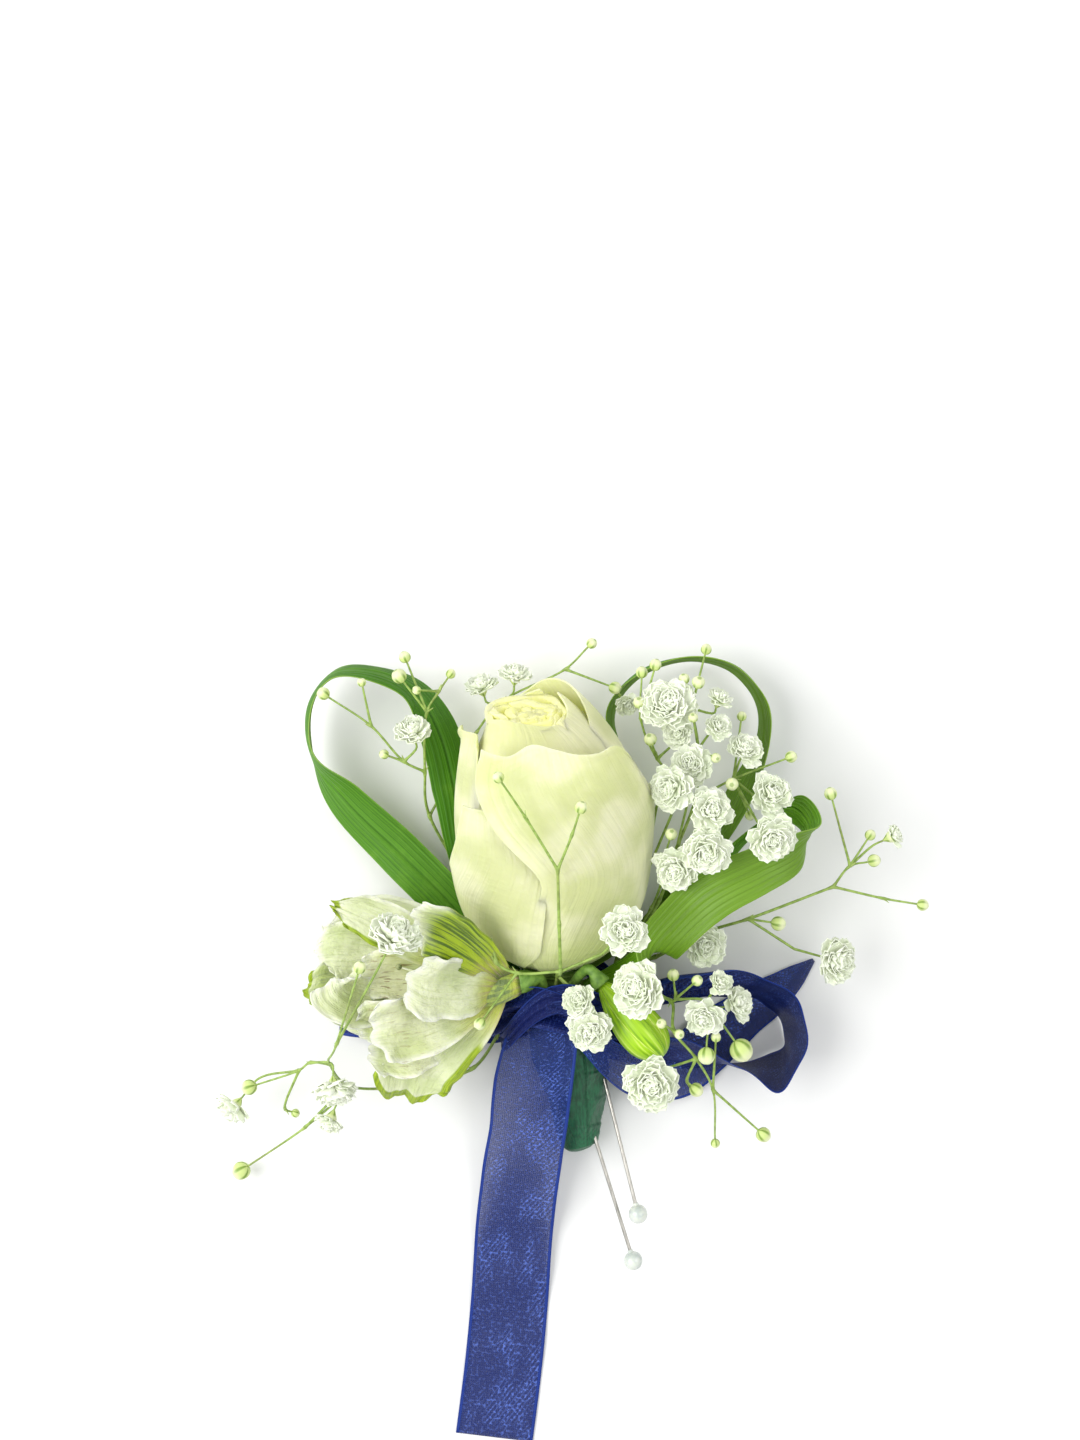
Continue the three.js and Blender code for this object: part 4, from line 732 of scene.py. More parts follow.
@dataclass(frozen=True)
class TepalFinish(Finish):
    """Alstroemeria tepals: white satin with fan veins, whiter along the rim and tip as a painted highlight,
    and a dark olive foot that is partly painted shade. A tone above zero limes the tissue, one below zero
    flecks an inner tepal, and the growth rim limes the lip."""

    white: str = "#E0E6C0"
    # Painted highlight: the whiter colour laid along the rims and tips.
    bright: str = "#F1F4DF"
    shade: str = "#BDCA8E"
    lime: str = "#A0B812"
    vein: str = "#4F6C0C"
    # Deep olive at the very foot: the throat's own green, darkened further as painted shade deep in the
    # funnel.
    throat: str = "#56700C"
    fleck: str = "#8A6A3E"
    belt: str = "#E9E29A"
    foot: str = "#BFC83C"
    blush: str = "#B98F92"

    def make(self) -> Material:
        """Builds the material."""
        s = Shading(
            self.name, self.white, Roughness=0.5, Subsurface_Weight=0.25, Subsurface_Scale=0.001,
            Sheen_Weight=0.1,
        )
        fan = s.pattern(s.uv, (18, 1.4, 1), 3)
        fine = s.pattern(s.uv, (80, 5, 1), 2)
        cloud = s.add(Kind.NOISE, s.place, 130, 2)
        s.lay(self.shade, cloud, 0.35, 0.7, 0, 0.8)
        s.lay(self.shade, fan, 0.5, 0.7, 0, 0.5)
        # Painted highlight: the rims and tips are laid whiter, as lit lips.
        from_middle = s.add(Kind.ABSOLUTE, s.add(Kind.SUBTRACT, s.across, 0.5))
        outer = s.add(Kind.STEP, from_middle, 0.38, 0.5)
        outer = s.add(Kind.MAXIMUM, outer, s.add(Kind.STEP, s.along, 0.85, 1.0))
        s.lay(self.bright, outer)
        green = s.add(Kind.BLEND, s.add(Kind.STEP, fan, 0.46, 0.56), self.lime, self.vein)
        uneven = s.add(Kind.STEP, cloud, 0.2, 0.5, 0.6, 1)
        flushed = s.add(Kind.MULTIPLY, s.add(Kind.STEP, s.tone, 0, 1), uneven)
        s.lay(green, flushed)
        lipped = s.add(Kind.BLEND, s.add(Kind.STEP, fine, 0.4, 0.65, 0, 0.6), self.lime, self.vein)
        s.lay(lipped, s.rim, 0.25, 0.7)
        inner = s.add(Kind.STEP, s.tone, -0.1, -0.9)
        from_belt = s.add(Kind.ABSOLUTE, s.add(Kind.SUBTRACT, s.along, 0.6))
        belt = s.add(Kind.MULTIPLY, s.add(Kind.STEP, from_belt, 0.3, 0.08), inner)
        s.lay(self.belt, s.add(Kind.MULTIPLY, belt, 0.3))
        streaks = s.pattern(s.uv, (26, 7, 1), 1)
        streaks = s.add(Kind.STEP, streaks, 0.63, 0.68)
        s.lay(self.fleck, s.add(Kind.MULTIPLY, streaks, belt))
        s.lay(self.foot, s.along, 0.36, 0.1, 0, 0.85)
        # Partly the throat's own green, partly painted shade where the funnel is deepest.
        s.lay(self.throat, s.along, 0.14, 0.03, 0, 0.85)
        veined = s.add(Kind.STEP, fan, 0.45, 0.62, 0, 0.5)
        pink = s.add(Kind.MULTIPLY, s.add(Kind.STEP, s.along, 0.3, 0.1), veined)
        s.lay(self.blush, pink)
        crinkle = s.pattern(s.uv, (9, 12, 1), 4)
        relief = s.add(Kind.ADD, s.add(Kind.MULTIPLY, fine, 0.3), fan)
        return s.finished(s.add(Kind.ADD, relief, s.add(Kind.MULTIPLY, crinkle, 1.4)), 0.42, 1)


@dataclass(frozen=True)
class BudFinish(Finish):
    """The alstroemeria's closed bud: satin lime tepals, paler along each seam and darker at the tip."""

    lime: str = "#A9D41C"
    seam: str = "#E2F07E"
    dark: str = "#5C9412"

    def make(self) -> Material:
        """Builds the material."""
        s = Shading(self.name, self.lime, Roughness=0.42, Subsurface_Weight=0.2, Subsurface_Scale=0.001)
        streaks = s.pattern(s.uv, (36, 2, 1), 2)
        s.lay(self.dark, streaks, 0.44, 0.66, 0, 0.75)
        s.lay(self.seam, streaks, 0.44, 0.3, 0, 0.6)
        s.lay(self.seam, s.rim, 0.5, 0.9, 0, 0.85)
        s.lay(self.dark, s.along, 0.82, 1.0, 0, 0.5)
        return s.finished(streaks, 0.15, 0.7)


@dataclass(frozen=True)
class TapeFinish(Finish):
    """Floral tape: stretched crepe paper in wax, with a dull shine and fine ridges across its length."""

    green: str = "#1E6B45"
    dark: str = "#0E4029"
    worn: str = "#2F7A50"

    def make(self) -> Material:
        """Builds the material."""
        s = Shading(self.name, self.green, Roughness=0.48, Coat_Weight=0.1, Coat_Roughness=0.4)
        ridges = s.pattern(s.uv, (70, 22, 1), 3)
        worn = s.pattern(s.place, (220, 220, 220), 3)
        s.lay(self.dark, ridges, 0.35, 0.65, 0, 0.7)
        s.lay(self.worn, worn, 0.5, 0.75, 0, 0.4)
        s.lay(self.dark, s.rim, 0.6, 1.0, 0, 0.35)
        return s.finished(ridges, 0.25, 0.9)


@dataclass(frozen=True)
class OrganzaFinish(Finish):
    """Royal blue organza: a sheer glossy weave between two satin edges, with painted glints and sparkle laid
    into its colour. Its threads are drawn 0.4 mm apart and its twill 0.8 mm, two to four times as coarse as
    the real ones, so that they show. Tone is how doubled it looks."""

    blue: str = "#1C2E72"
    deep: str = "#0A1858"
    # Painted highlight: the colour of the glints and sparkle laid on the cloth.
    painted_glint: str = "#6A8AEE"
    edge: str = "#1D3686"
    sheen: str = "#6F8AF0"
    threads: float = 40.0
    sheer: float = 0.63

    def make(self) -> Material:
        """Builds the material."""
        s = Shading(
            self.name, self.blue, Roughness=0.4, Specular_IOR_Level=0.2, Sheen_Weight=0.05,
            Sheen_Tint=self.sheen,
        )
        turns = 2 * math.pi * self.threads
        weft = s.add(Kind.SINE, s.add(Kind.MULTIPLY, s.along, turns))
        warp = s.add(Kind.SINE, s.add(Kind.MULTIPLY, s.across, turns))
        weave = s.add(Kind.MULTIPLY, s.add(Kind.ADD, warp, weft), 0.25)
        slant = s.add(Kind.ADD, s.add(Kind.MULTIPLY, s.across, 17.0), s.add(Kind.MULTIPLY, s.along, 12.0))
        twill = s.add(Kind.STEP, s.add(Kind.SINE, s.add(Kind.MULTIPLY, slant, 2 * math.pi)), 0.1, 0.9)
        # Painted glints: moire patches stronger towards one edge, twill bands and sparkling flecks, laid as
        # bright blue into the colour; fewer where the cloth is doubled.
        patches = s.pattern(s.uv, (3, 1.3, 1), 2)
        patches = s.add(Kind.ADD, patches, s.add(Kind.MULTIPLY, s.across, 0.16))
        patches = s.add(Kind.STEP, patches, 0.55, 0.68)
        sparkle = s.pattern(s.uv, (26, 32, 1), 1)
        sparkle = s.add(Kind.STEP, sparkle, 0.52, 0.68)
        s.lay(self.deep, s.tone, 0.2, 1.0)
        uneven = s.add(Kind.ADD, s.add(Kind.MULTIPLY, sparkle, 0.65), 0.25)
        painted_glints = s.add(Kind.MULTIPLY, s.add(Kind.MULTIPLY, patches, twill), uneven)
        shine = s.add(Kind.MULTIPLY, sparkle, s.add(Kind.ADD, s.add(Kind.MULTIPLY, patches, 0.4), 0.26))
        single = s.add(Kind.SUBTRACT, 1.0, s.add(Kind.MULTIPLY, s.tone, 0.6))
        painted_glints = s.add(Kind.MULTIPLY, s.add(Kind.MAXIMUM, painted_glints, shine), single)
        s.lay(self.painted_glint, painted_glints)
        satin = s.add(Kind.STEP, s.rim, 0.4, 0.7)
        s.lay(self.edge, satin)
        veil = s.add(Kind.ADD, s.add(Kind.MULTIPLY, weave, 0.18), self.sheer)
        veil = s.add(Kind.ADD, veil, s.add(Kind.MULTIPLY, s.tone, 0.3))
        fill(s.bsdf, Alpha=s.add(Kind.MAXIMUM, veil, satin))
        return s.finished(s.add(Kind.ADD, weave, s.add(Kind.MULTIPLY, sparkle, 0.5)), 0.08, 0.8)


@dataclass(frozen=True)
class SteelFinish(Finish):
    """Drawn steel pin wire: bright, with fine draw lines."""

    steel: str = "#B9B6AE"
    lines: str = "#8D8A84"

    def make(self) -> Material:
        """Builds the material."""
        s = Shading(self.name, self.steel, Metallic=1.0, Roughness=0.28)
        lines = s.pattern(s.place, (2500, 400, 2500), 2)
        s.lay(self.lines, lines, 0.4, 0.6, 0, 0.5)
        return s.finished(lines, 0.01, 0.4)


@dataclass(frozen=True)
class PearlFinish(Finish):
    """A dipped plastic pearl: soft white lacquer over a cloudy ball."""

    white: str = "#DDE2D8"
    cloud: str = "#B9C4BE"

    def make(self) -> Material:
        """Builds the material."""
        s = Shading(
            self.name, self.white, Roughness=0.25, Coat_Weight=0.4, Coat_Roughness=0.12,
            Subsurface_Weight=0.1, Subsurface_Scale=0.001,
        )
        clouds = s.pattern(s.place, (500, 500, 500), 2)
        s.lay(self.cloud, clouds, 0.4, 0.65, 0, 0.7)
        return s.finished(clouds, 0.02, 0.3)


@dataclass(frozen=True)
class FloorFinish(Finish):
    """The plain pale floor."""

    pale: str = "#F4F4F2"
    grain: str = "#F0F0EE"

    def make(self) -> Material:
        """Builds the material."""
        s = Shading(self.name, self.pale, Roughness=0.9)
        grain = s.pattern(s.place, (40, 40, 40), 2)
        s.lay(self.grain, grain, 0.3, 0.7, 0, 0.5)
        return s.finished()


# The binding: where every stem comes together.


class Stem(Enum):
    """The stems round the rose's own, by their angle in the binding: 90 faces up and 0 faces right."""

    LOWER_RIGHT_SPRIG = 18
    BUD = 78
    FRONT_SPRIG = 108
    ALSTROEMERIA = 138
    LOWER_LEFT_SPRIG = 168
    LEFT_LEAF = 198
    TOP_LEFT_SPRIG = 228
    TOP_LEAF = 258
    FAR_SPRIG = 288
    RIGHT_SPRIG = 318
    RIGHT_LEAF = 348


@dataclass
class Binding:
    """The sleeve of floral tape round the stems, wound on a slant so that each turn laps the last."""

    axis: tuple[Point, ...] = (
        (1.5, -12.2, 4.1),
        (1.2, -11.3, 4.1),
        (0.7, -7.5, 4.4),
        (0, 0, 5.8),
        (-0.9, 7, 7.3),
        (-1.7, 13, 8.9),
        (-2.6, 18.3, 10),
    )
    radii: tuple[float, ...] = (2.4, 3.9, 4.8, 6.3, 7.8, 8, 7.4)
    rose_base: Point = (-4.6, 26.2, 10.6)
    stem_ring: float = 5
    rows: int = 150
    sides: int = 72
    turn_pitch: float = 6.2
    lap: float = 0.24

    def __post_init__(self) -> None:
        """Works out the directions at the top of the binding."""
        self.top = vec(self.axis[-1])
        self.forward = unit(vec(self.rose_base) - self.top)
        self.right = unit(np.array([1.0, 0, 0]) - self.forward * self.forward[0])
        self.front = np.cross(self.right, self.forward)

    def mouth(self, stem: Stem, back: float = 0.0) -> Array:
        """Returns where a stem comes out of the tape, or a point back along it."""
        angle = math.radians(stem.value)
        round_it = self.right * math.cos(angle) + self.front * math.sin(angle)
        return self.top + round_it * self.stem_ring - self.forward * back

    def root(self, stem: Stem) -> list[Array]:
        """Returns the stem's way out of the tape, straight while the tape holds it."""
        return [self.mouth(stem, back) for back in (4.0, 0.0, -1.6)]

    def rings(self) -> Array:
        """Returns the tape's surface as rings of points, lapped, creased and pinched at its foot."""
        places = steps(self.rows)
        path = smooth(self.axis, places)
        stops = steps(len(self.radii))
        radius = np.interp(places, stops, self.radii)
        length = np.concatenate([[0], np.cumsum(np.linalg.norm(np.diff(path, axis=0), axis=1))])
        angle = round_turn(self.sides)
        turns = length[:, None] / self.turn_pitch + angle[None] / (2 * math.pi)
        lapped = self.lap * (turns % 1) ** 1.5
        wander = 5 * np.sin(length[:, None] * 0.9)
        creases = 0.1 * np.sin(angle * 23 + wander) * np.sin(length[:, None] * 1.7 + 3 * angle)
        lumps = 0.28 * np.sin(3 * angle + 0.35 * length[:, None])
        lumps += 0.16 * np.sin(5 * angle - 0.6 * length[:, None])
        pinch = smoothstep(0, 4, length)[:, None]
        fade = pinch * smoothstep(0, 1.5, length[-1] - length)[:, None]
        wide = radius[:, None] - 0.3 + fade * (lapped + creases + lumps)
        self.lap_share = (turns % 1) ** 4
        return tube_rings(path, wide, self.sides)

    def build(self, finish: TapeFinish) -> None:
        """Builds the taped sleeve, and the gathered tape that closes its top round the stems."""
        skin = Skin()
        rings = self.rings()
        skin.add_tube(rings, rim=self.lap_share)
        top = rings[-1]
        middle = top.mean(axis=0)
        shrink = np.linspace(1.0, 0.45, 7)
        rise = 1.5 * np.sin(steps(7) * math.pi / 2)
        gather = 1 + 0.06 * np.sin(9 * round_turn(self.sides))
        cuff = []
        for share, lift in zip(shrink, rise):
            narrowed = share * mix(1.0, gather[:, None], lift / 1.5)
            cuff.append(middle + (top - middle) * narrowed + self.forward * (lift - 0.2))
        skin.add_tube(np.array(cuff), rim=0.4)
        skin.build("floral_tape", finish.make(), "floral_tape", "stem_tape")


# The rose.


@dataclass(frozen=True)
class PetalPlan:
    """One petal round the rose's axis, by the lines that bound it. Azimuth 0 faces up and 90 faces right.

    Left and right are the azimuths of its sides at even steps from foot to rim, and top is the height of
    its rim at even steps from left to right. Scale is its share of the bud's radius, tuck draws the upper
    part of its right side in under its neighbour, lean closes its rim in, flare turns the left of its lip
    out, shift moves its rim sideways with the heart, and roll turns out the upper part of its left side."""

    left: tuple[float, ...]
    right: tuple[float, ...]
    top: tuple[float, ...]
    scale: float
    tuck: float = 0.0
    lean: float = 0.0
    flare: float = 0.0
    shift: float = 0.0
    roll: float = 0.0
    ruffle: float = 0.4
    warmth: float = 0.0


OUTER_PETALS = (
    PetalPlan(
        left=(-18, -18, -18, -12, -6.5, -17.5, -33, -42.5, -41), right=(50, 92, 106, 98, 71),
        top=(52, 51, 53.7, 53, 51.7, 51.3, 51.8, 48, 39.8), scale=1.0, lean=0.05, flare=0.3, roll=2.6,
        ruffle=0.2,
    ),
    PetalPlan(
        left=(-75, -95, -105, -105, -95, -78, -66, -60, -54),
        right=(-60, -28, -11, -7, -5, -4, -4, -12, -24), top=(39.8, 40, 37), scale=1.035, tuck=2.5,
        ruffle=0.1,
    ),
    PetalPlan(
        left=(-100, -130, -136, -126, -112), right=(-20, -22, -34, -52, -66), top=(47, 50, 51.4, 51.4, 49.6),
        scale=0.95, tuck=1.5, lean=0.06, flare=1.5,
    ),
    PetalPlan(
        left=(-190, -190, -190, -192, -194), right=(-14, -16, -22, -30, -36),
        top=(56.4, 54.4, 51.4, 51.2, 51.2, 50.4), scale=0.915, lean=0.52, shift=-4.2, ruffle=0.3,
        warmth=0.15,
    ),
    PetalPlan(
        left=(50, 50, 54, 57, 60), right=(200, 205, 210, 214, 216),
        top=(46.5, 52.5, 55.8, 57.3, 57.2, 54, 50.5), scale=0.93, lean=0.32, shift=-4.5, ruffle=0.3,
        warmth=0.15,
    ),
    PetalPlan(
        left=(-140, -138, -134, -130, -126), right=(130, 132, 132, 130, 126),
        top=(52.4, 53.4, 54.6, 53.6, 53.8, 55.4, 56.4), scale=0.86, lean=0.52, shift=-4.5, ruffle=0.5,
        warmth=0.3,
    ),
)


def line_through(stops: tuple[float, ...], places: Array) -> Array:
    """Returns the value at each place, from 0 to 1, of a smooth line through even stops."""
    curve = smooth(np.array(stops)[:, None], places.ravel(), even=True)
    return curve.reshape(places.shape)


@dataclass
class Rose:
    """A half-open rose: overlapping outer petals round a crumpled spiral heart, on its hip and sepals."""

    base: Point = (-4.6, 26.2, 10.6)
    tilt: float = 19
    lean: float = 0.5
    neck: float = 3.4
    bulge: float = 16.8
    shoulder: float = 30.0
    thickness: float = 0.5
    heart_count: int = 6
    heart_shift: float = -4.5
    core_rings: int = 24
    core_sides: int = 40
    hip_radius: float = 3.7
    sepals: int = 5
    stem_radius: float = 2.1
    rows: int = 50
    columns: int = 46

    def __post_init__(self) -> None:
        """Works out the turn that lays the rose back."""
        a, b = math.radians(self.tilt - 90), math.radians(self.lean)
        tilted = np.array([[1, 0, 0], [0, math.cos(a), -math.sin(a)], [0, math.sin(a), math.cos(a)]])
        leaned = np.array([[math.cos(b), -math.sin(b), 0], [math.sin(b), math.cos(b), 0], [0, 0, 1]])
        self.turn = leaned @ tilted

    def placed(self, points: Array) -> Array:
        """Returns points of the rose's own frame, laid back in the part's frame."""
        return points @ self.turn.T + vec(self.base)

    def radius(self, height: Array) -> Array:
        """Returns the closed bud's radius at a height above its base."""
        above = np.maximum(0, height - self.shoulder)
        return self.neck + self.bulge * (1 - np.exp(-height / 7.5)) - 0.005 * above**2

    def petal(self, plan: PetalPlan, seed: float) -> Sheet:
        """Shapes an outer petal.

        Args:
            plan: the lines that bound it.
            seed: a number that sets how its rim waves.

        Returns:
            Its grid in the rose's own frame, and its u and v.
        """
        u, v, side = sheet_sides(self.rows, self.columns)
        angle = np.radians(mix(line_through(plan.left, v), line_through(plan.right, v), u))
        lip = smoothstep(0.94, 1.0, v)
        up = line_through(plan.top, u) * v + plan.ruffle * np.sin(5.2 * side + seed) * v**6
        radius = self.radius(up) * plan.scale * (1 - plan.lean * v**6)
        radius += plan.flare * v**8 * smoothstep(0.95, 0.4, u)
        radius -= plan.tuck * smoothstep(0.3, 1.0, u) * smoothstep(0.55, 0.85, v + 0.3 * (u - 0.8))
        radius += 0.5 * lip**2 + plan.ruffle * np.sin(7.1 * side + 2 * seed) * v**5
        radius += 0.2 * np.sin(2.7 * side + 7 * v + seed) * v + 0.25 * np.abs(side) ** 10 * v
        radius += plan.roll * smoothstep(0.2, 0.0, u) ** 1.3 * smoothstep(0.5, 0.7, v)
        across = radius * np.sin(angle) + plan.shift * v**6
        return np.stack([across, -radius * np.cos(angle), up + 0.2 - 0.45 * lip**2], axis=-1), (u, v)

    def heart_petal(self, order: int) -> Sheet:
        """Shapes a petal of the heart, a crumpled curl wound inwards with the others.

        Args:
            order: its place in the spiral, from the outermost.

        Returns:
            Its grid in the rose's own frame, and its u and v.
        """
        share = order / (self.heart_count - 1)
        u, v, side = sheet_sides(36, 56)
        angle = np.radians(170 + order * 137.5 + mix(125, 160, share) * side)
        mouth = mix(6.9, 1.4, share)
        crumple = 0.9 * np.sin(3 * angle + 0.7 * order) + 0.5 * np.sin(5 * angle - 1.3 * order)
        top = mix(54.3, 53.6, share) - 0.12 * mouth * np.cos(angle) + 0.5 * np.sin(4 * side + 2.1 * order)
        up = mix(self.shoulder, top, v)
        lip = smoothstep(0.9, 1.0, v)
        radius = mouth + mix(5.5, 1.2, share) * (1 - v**2.2)
        radius += crumple * np.minimum(1, mouth / 3) * v**4 + 0.5 * lip**2
        radius += 0.08 * np.sin(15 * side + 3 * order + 4 * v) * v**6
        radius = np.maximum(radius, 0.35)
        across = radius * np.sin(angle) + self.heart_shift * v**3
        return np.stack([across, -radius * np.cos(angle), up - 0.4 * lip**2], axis=-1), (u, v)

    def core(self) -> Array:
        """Returns rings of the closed core that the petals wrap, its crumpled top just inside their rims."""
        share = steps(self.core_rings)
        heights = 0.3 + 53 * share**0.8
        path = np.column_stack([self.heart_shift * share**3, np.zeros(self.core_rings), heights])
        angle = round_turn(self.core_sides)
        spokes = np.stack([np.cos(angle), np.sin(angle), 0.06 * np.sin(5 * angle)], axis=-1)
        radius = self.radius(heights) * mix(0.7, 0.36, share**3)
        return path[:, None] + spokes[None] * (radius * (1 - 0.6 * share**16))[:, None, None]

    def build_bloom(self, finish: RosePetalFinish) -> None:
        """Builds the petals, each thicker at its foot than at its rim."""
        skin = Skin()
        for order, plan in enumerate(OUTER_PETALS):
            grid, (u, v) = self.petal(plan, 1.7 * order)
            thickness = self.thickness * mix(1.5, 0.7, v)
            skin.add_sheet(self.placed(grid), thickness, (u, v), tone=plan.warmth)
        for order in range(self.heart_count):
            grid, (u, v) = self.heart_petal(order)
            warmth = mix(0.75, 1, order / self.heart_count)
            skin.add_sheet(self.placed(grid), 2.8 * self.thickness, (u, v), tone=warmth)
        skin.add_tube(self.placed(self.core()), tone=1.0)
        skin.build("rose_petals", finish.make(), "rose_petals", "rose_bloom")

    def build_calyx(self, finish: TwigFinish, binding: Binding) -> None:
        """Builds the hip, the five sepals curled back under the petals, and the stem in the tape."""
        skin = Skin()
        heights = np.linspace(-4.8, 0.1, 16)
        swell = np.sqrt(np.clip(1 - ((heights + 2.2) / 2.9) ** 2, 0.04, 1))
        skin.add_tube(self.placed(rings_about_z(np.outer(self.hip_radius * swell, np.ones(24)), heights)))
        u, v, side = sheet_sides(26, 11)
        for k in range(self.sepals):
            reach = 2.4 + 5.2 * v
            half = 2.0 * (1 - v) ** 0.8 + 0.06
            angle = np.radians(360 / self.sepals * k - 90 + 3 * math.sin(k)) + side * half / reach
            up = -1.4 + 1.6 * v - 0.5 * side**2 * (1 - v) + 0.5 * math.sin(2.0 * k) * v**2
            grid = np.stack([reach * np.sin(angle), -reach * np.cos(angle), up], axis=-1)
            skin.add_sheet(self.placed(grid), mix(0.5, 0.25, v), (u, v), tone=0.2)
        stem = np.linspace(binding.top - 4 * binding.forward, vec(self.base) - 2.4 * binding.forward, 12)
        skin.add_tube(tube_rings(stem, self.stem_radius, 20))
        skin.build("rose_hip_and_sepals", finish.make(), "stem_green", "rose_calyx_and_stem")


# The looped grass leaves.


@dataclass(frozen=True)
class Leaf:
    """One strap leaf, bent over and caught with both its ends in the tape."""

    node: str
    stem: Stem
    crown: float
    stops: tuple[Stop, ...]
    finish: GrassBladeFinish = GrassBladeFinish("satin_grass_blade")
    thickness: float = 0.42
    neck: float = 3.0
    tip: float = 1.8
    rows: int = 190
    columns: int = 37
    ribs: int = 9

    def build(self, binding: Binding) -> None:
        """Builds the blade with its raised ribs, from its root in the tape round to its other end."""
        out = binding.root(self.stem)
        first, last = self.stops[0], self.stops[-1]
        start = [Stop(tuple(p), first.side, self.neck) for p in out[1:]]
        end = [Stop(tuple(p), last.side, self.tip) for p in out[::-1][:-1]]
        stops = (*start, *self.stops[1:-1], *end)
        u, v = np.meshgrid(steps(self.columns), steps(self.rows))
        grid, normal, width = strap_grid(stops, u, v, self.crown)
        broad = smoothstep(2.5, 7, width)[:, None]
        ripple = 0.07 * np.cos(2 * math.pi * self.ribs * u) - 0.2 * np.exp(-(((u - 0.5) / 0.035) ** 2))
        sway = 0.25 * np.sin(17 * v + 2 * u) * np.sin(math.pi * v)
        sway += 0.3 * np.abs(2 * u - 1) ** 3 * np.sin(43 * v)
        grid += normal * ((ripple + sway) * broad)[..., None]
        thin = self.thickness * (1 - 0.6 * np.abs(2 * u - 1) ** 4)
        skin = Skin()
        skin.add_sheet(grid, thin, (u, v), rim=np.abs(2 * u - 1) ** 10)
        skin.build(f"{self.node}_blade", self.finish.make(), "grass_leaf", self.node)


LEAVES = (
    Leaf(
        "leaf_left", Stem.LEFT_LEAF, crown=0.05,
        stops=(
            Stop((-10.4, 23, 8.6), (0.6, -0.6, 0.5), 2.2), Stop((-18.6, 29.8, 7.4), (0.6, -0.7, 0.2), 6.4),
            Stop((-26, 38.5, 7.6), (0.66, 0.74, 0.1), 9.5), Stop((-36, 48.5, 7.6), (0.66, 0.74, 0.15), 9.6),
            Stop((-46.5, 59, 8), (0.68, 0.62, 0.45), 9), Stop((-53.2, 69, 9), (0.15, 0.05, 0.98), 8.2),
            Stop((-53.4, 78.5, 11), (0.08, 0, 0.99), 7.6), Stop((-48.5, 84.6, 13), (0, -0.2, 0.98), 7.4),
            Stop((-41, 85.2, 13), (0, -0.38, 0.92), 7.4), Stop((-33.5, 82.2, 12), (-0.3, -0.5, 0.8), 7.6),
            Stop((-28.2, 74, 10), (-0.8, -0.45, 0.4), 8.6), Stop((-25, 62, 7), (-0.93, -0.25, 0.25), 9),
            Stop((-23.5, 50, 4.4), (-0.95, -0.2, 0.15), 6.5), Stop((-21, 38, 3.4), (-0.9, 0.1, 0.1), 4),
            Stop((-15.5, 29, 4.6), (-0.8, 0.3, 0.2), 3), Stop((-10, 23, 8), (-0.7, 0.3, 0.3), 2.2),
        ),
    ),
    Leaf(
        "leaf_top", Stem.TOP_LEAF, crown=0.04,
        stops=(
            Stop((-2, 24.4, 2.6), (0.5, 0.1, 0.85), 2), Stop((8, 31, 2.4), (0.4, 0.1, 0.9), 2.6),
            Stop((14, 44, 2.8), (0.3, 0.1, 0.94), 4), Stop((12, 61, 3.4), (-0.2, 0.1, 0.97), 5.4),
            Stop((7.4, 77, 6.4), (-0.25, 0.1, 0.95), 6), Stop((13, 84.8, 7.2), (-0.05, 0.12, 0.98), 6.4),
            Stop((23, 87.8, 7.2), (0, 0.15, 0.98), 6.8), Stop((32.6, 86, 7.4), (0.05, 0.2, 0.98), 7.2),
            Stop((37.6, 79.5, 7.6), (0.15, 0.1, 0.98), 7.6), Stop((38, 70.8, 7.2), (0.25, 0.05, 0.96), 7.8),
            Stop((33.6, 61, 6.6), (0.55, -0.3, 0.75), 7.4), Stop((25, 47, 4.4), (0.7, -0.5, 0.5), 5.6),
            Stop((15, 34, 2.6), (0.5, -0.5, 0.6), 3.4), Stop((-1.4, 25, 3.4), (0.3, -0.5, 0.6), 2),
        ),
    ),
    Leaf(
        "leaf_right", Stem.RIGHT_LEAF, crown=0.05,
        finish=GrassBladeFinish("lime_grass_blade", root="#86BE22", tip="#44800E"),
        stops=(
            Stop((7.5, 21.5, 10), (0.2, -0.5, 0.8), 2.2), Stop((11.6, 25.8, 17.5), (0.2, -0.7, 0.5), 8),
            Stop((17.8, 33.8, 23.5), (-0.65, 0.74, -0.1), 9.6),
            Stop((25, 41.3, 27.5), (-0.55, 0.82, -0.05), 10.4),
            Stop((35, 46.6, 28.6), (-0.4, 0.9, 0.1), 9.4), Stop((42.6, 50, 26.5), (-0.4, 0.75, 0.5), 8.4),
            Stop((46, 54.3, 21.5), (0.3, 0.35, 0.88), 7.6), Stop((43, 58.2, 15.5), (0.6, 0.7, 0.4), 7),
            Stop((36, 53, 9.6), (0.5, 0.8, 0.3), 6), Stop((24, 40, 8), (-0.5, 0.75, 0.3), 4.6),
            Stop((14, 29, 8.4), (-0.6, 0.6, 0.4), 3.4), Stop((8, 22, 9.4), (-0.4, 0.5, 0.7), 2.2),
        ),
    ),
)


# The sprigs of baby's breath.


@dataclass(frozen=True)
class Bloom:
    """A double bloom: its node's number, the joint it grows from, its middle, its radius and its face."""

    number: int
    start: str
    at: Point
    radius: float
    face: Point


@dataclass(frozen=True)
class Sprig:
    """A sprig's joints, twigs and blooms.

    A twig is the names of the joints that it runs through, with the radius of the bud that ends it, or
    0 where it ends bare. The first one is the main twig, which starts in the tape and is thicker."""

    node: str
    stem: Stem
    joints: dict[str, Point]
    twigs: dict[str, float]
    blooms: tuple[Bloom, ...]


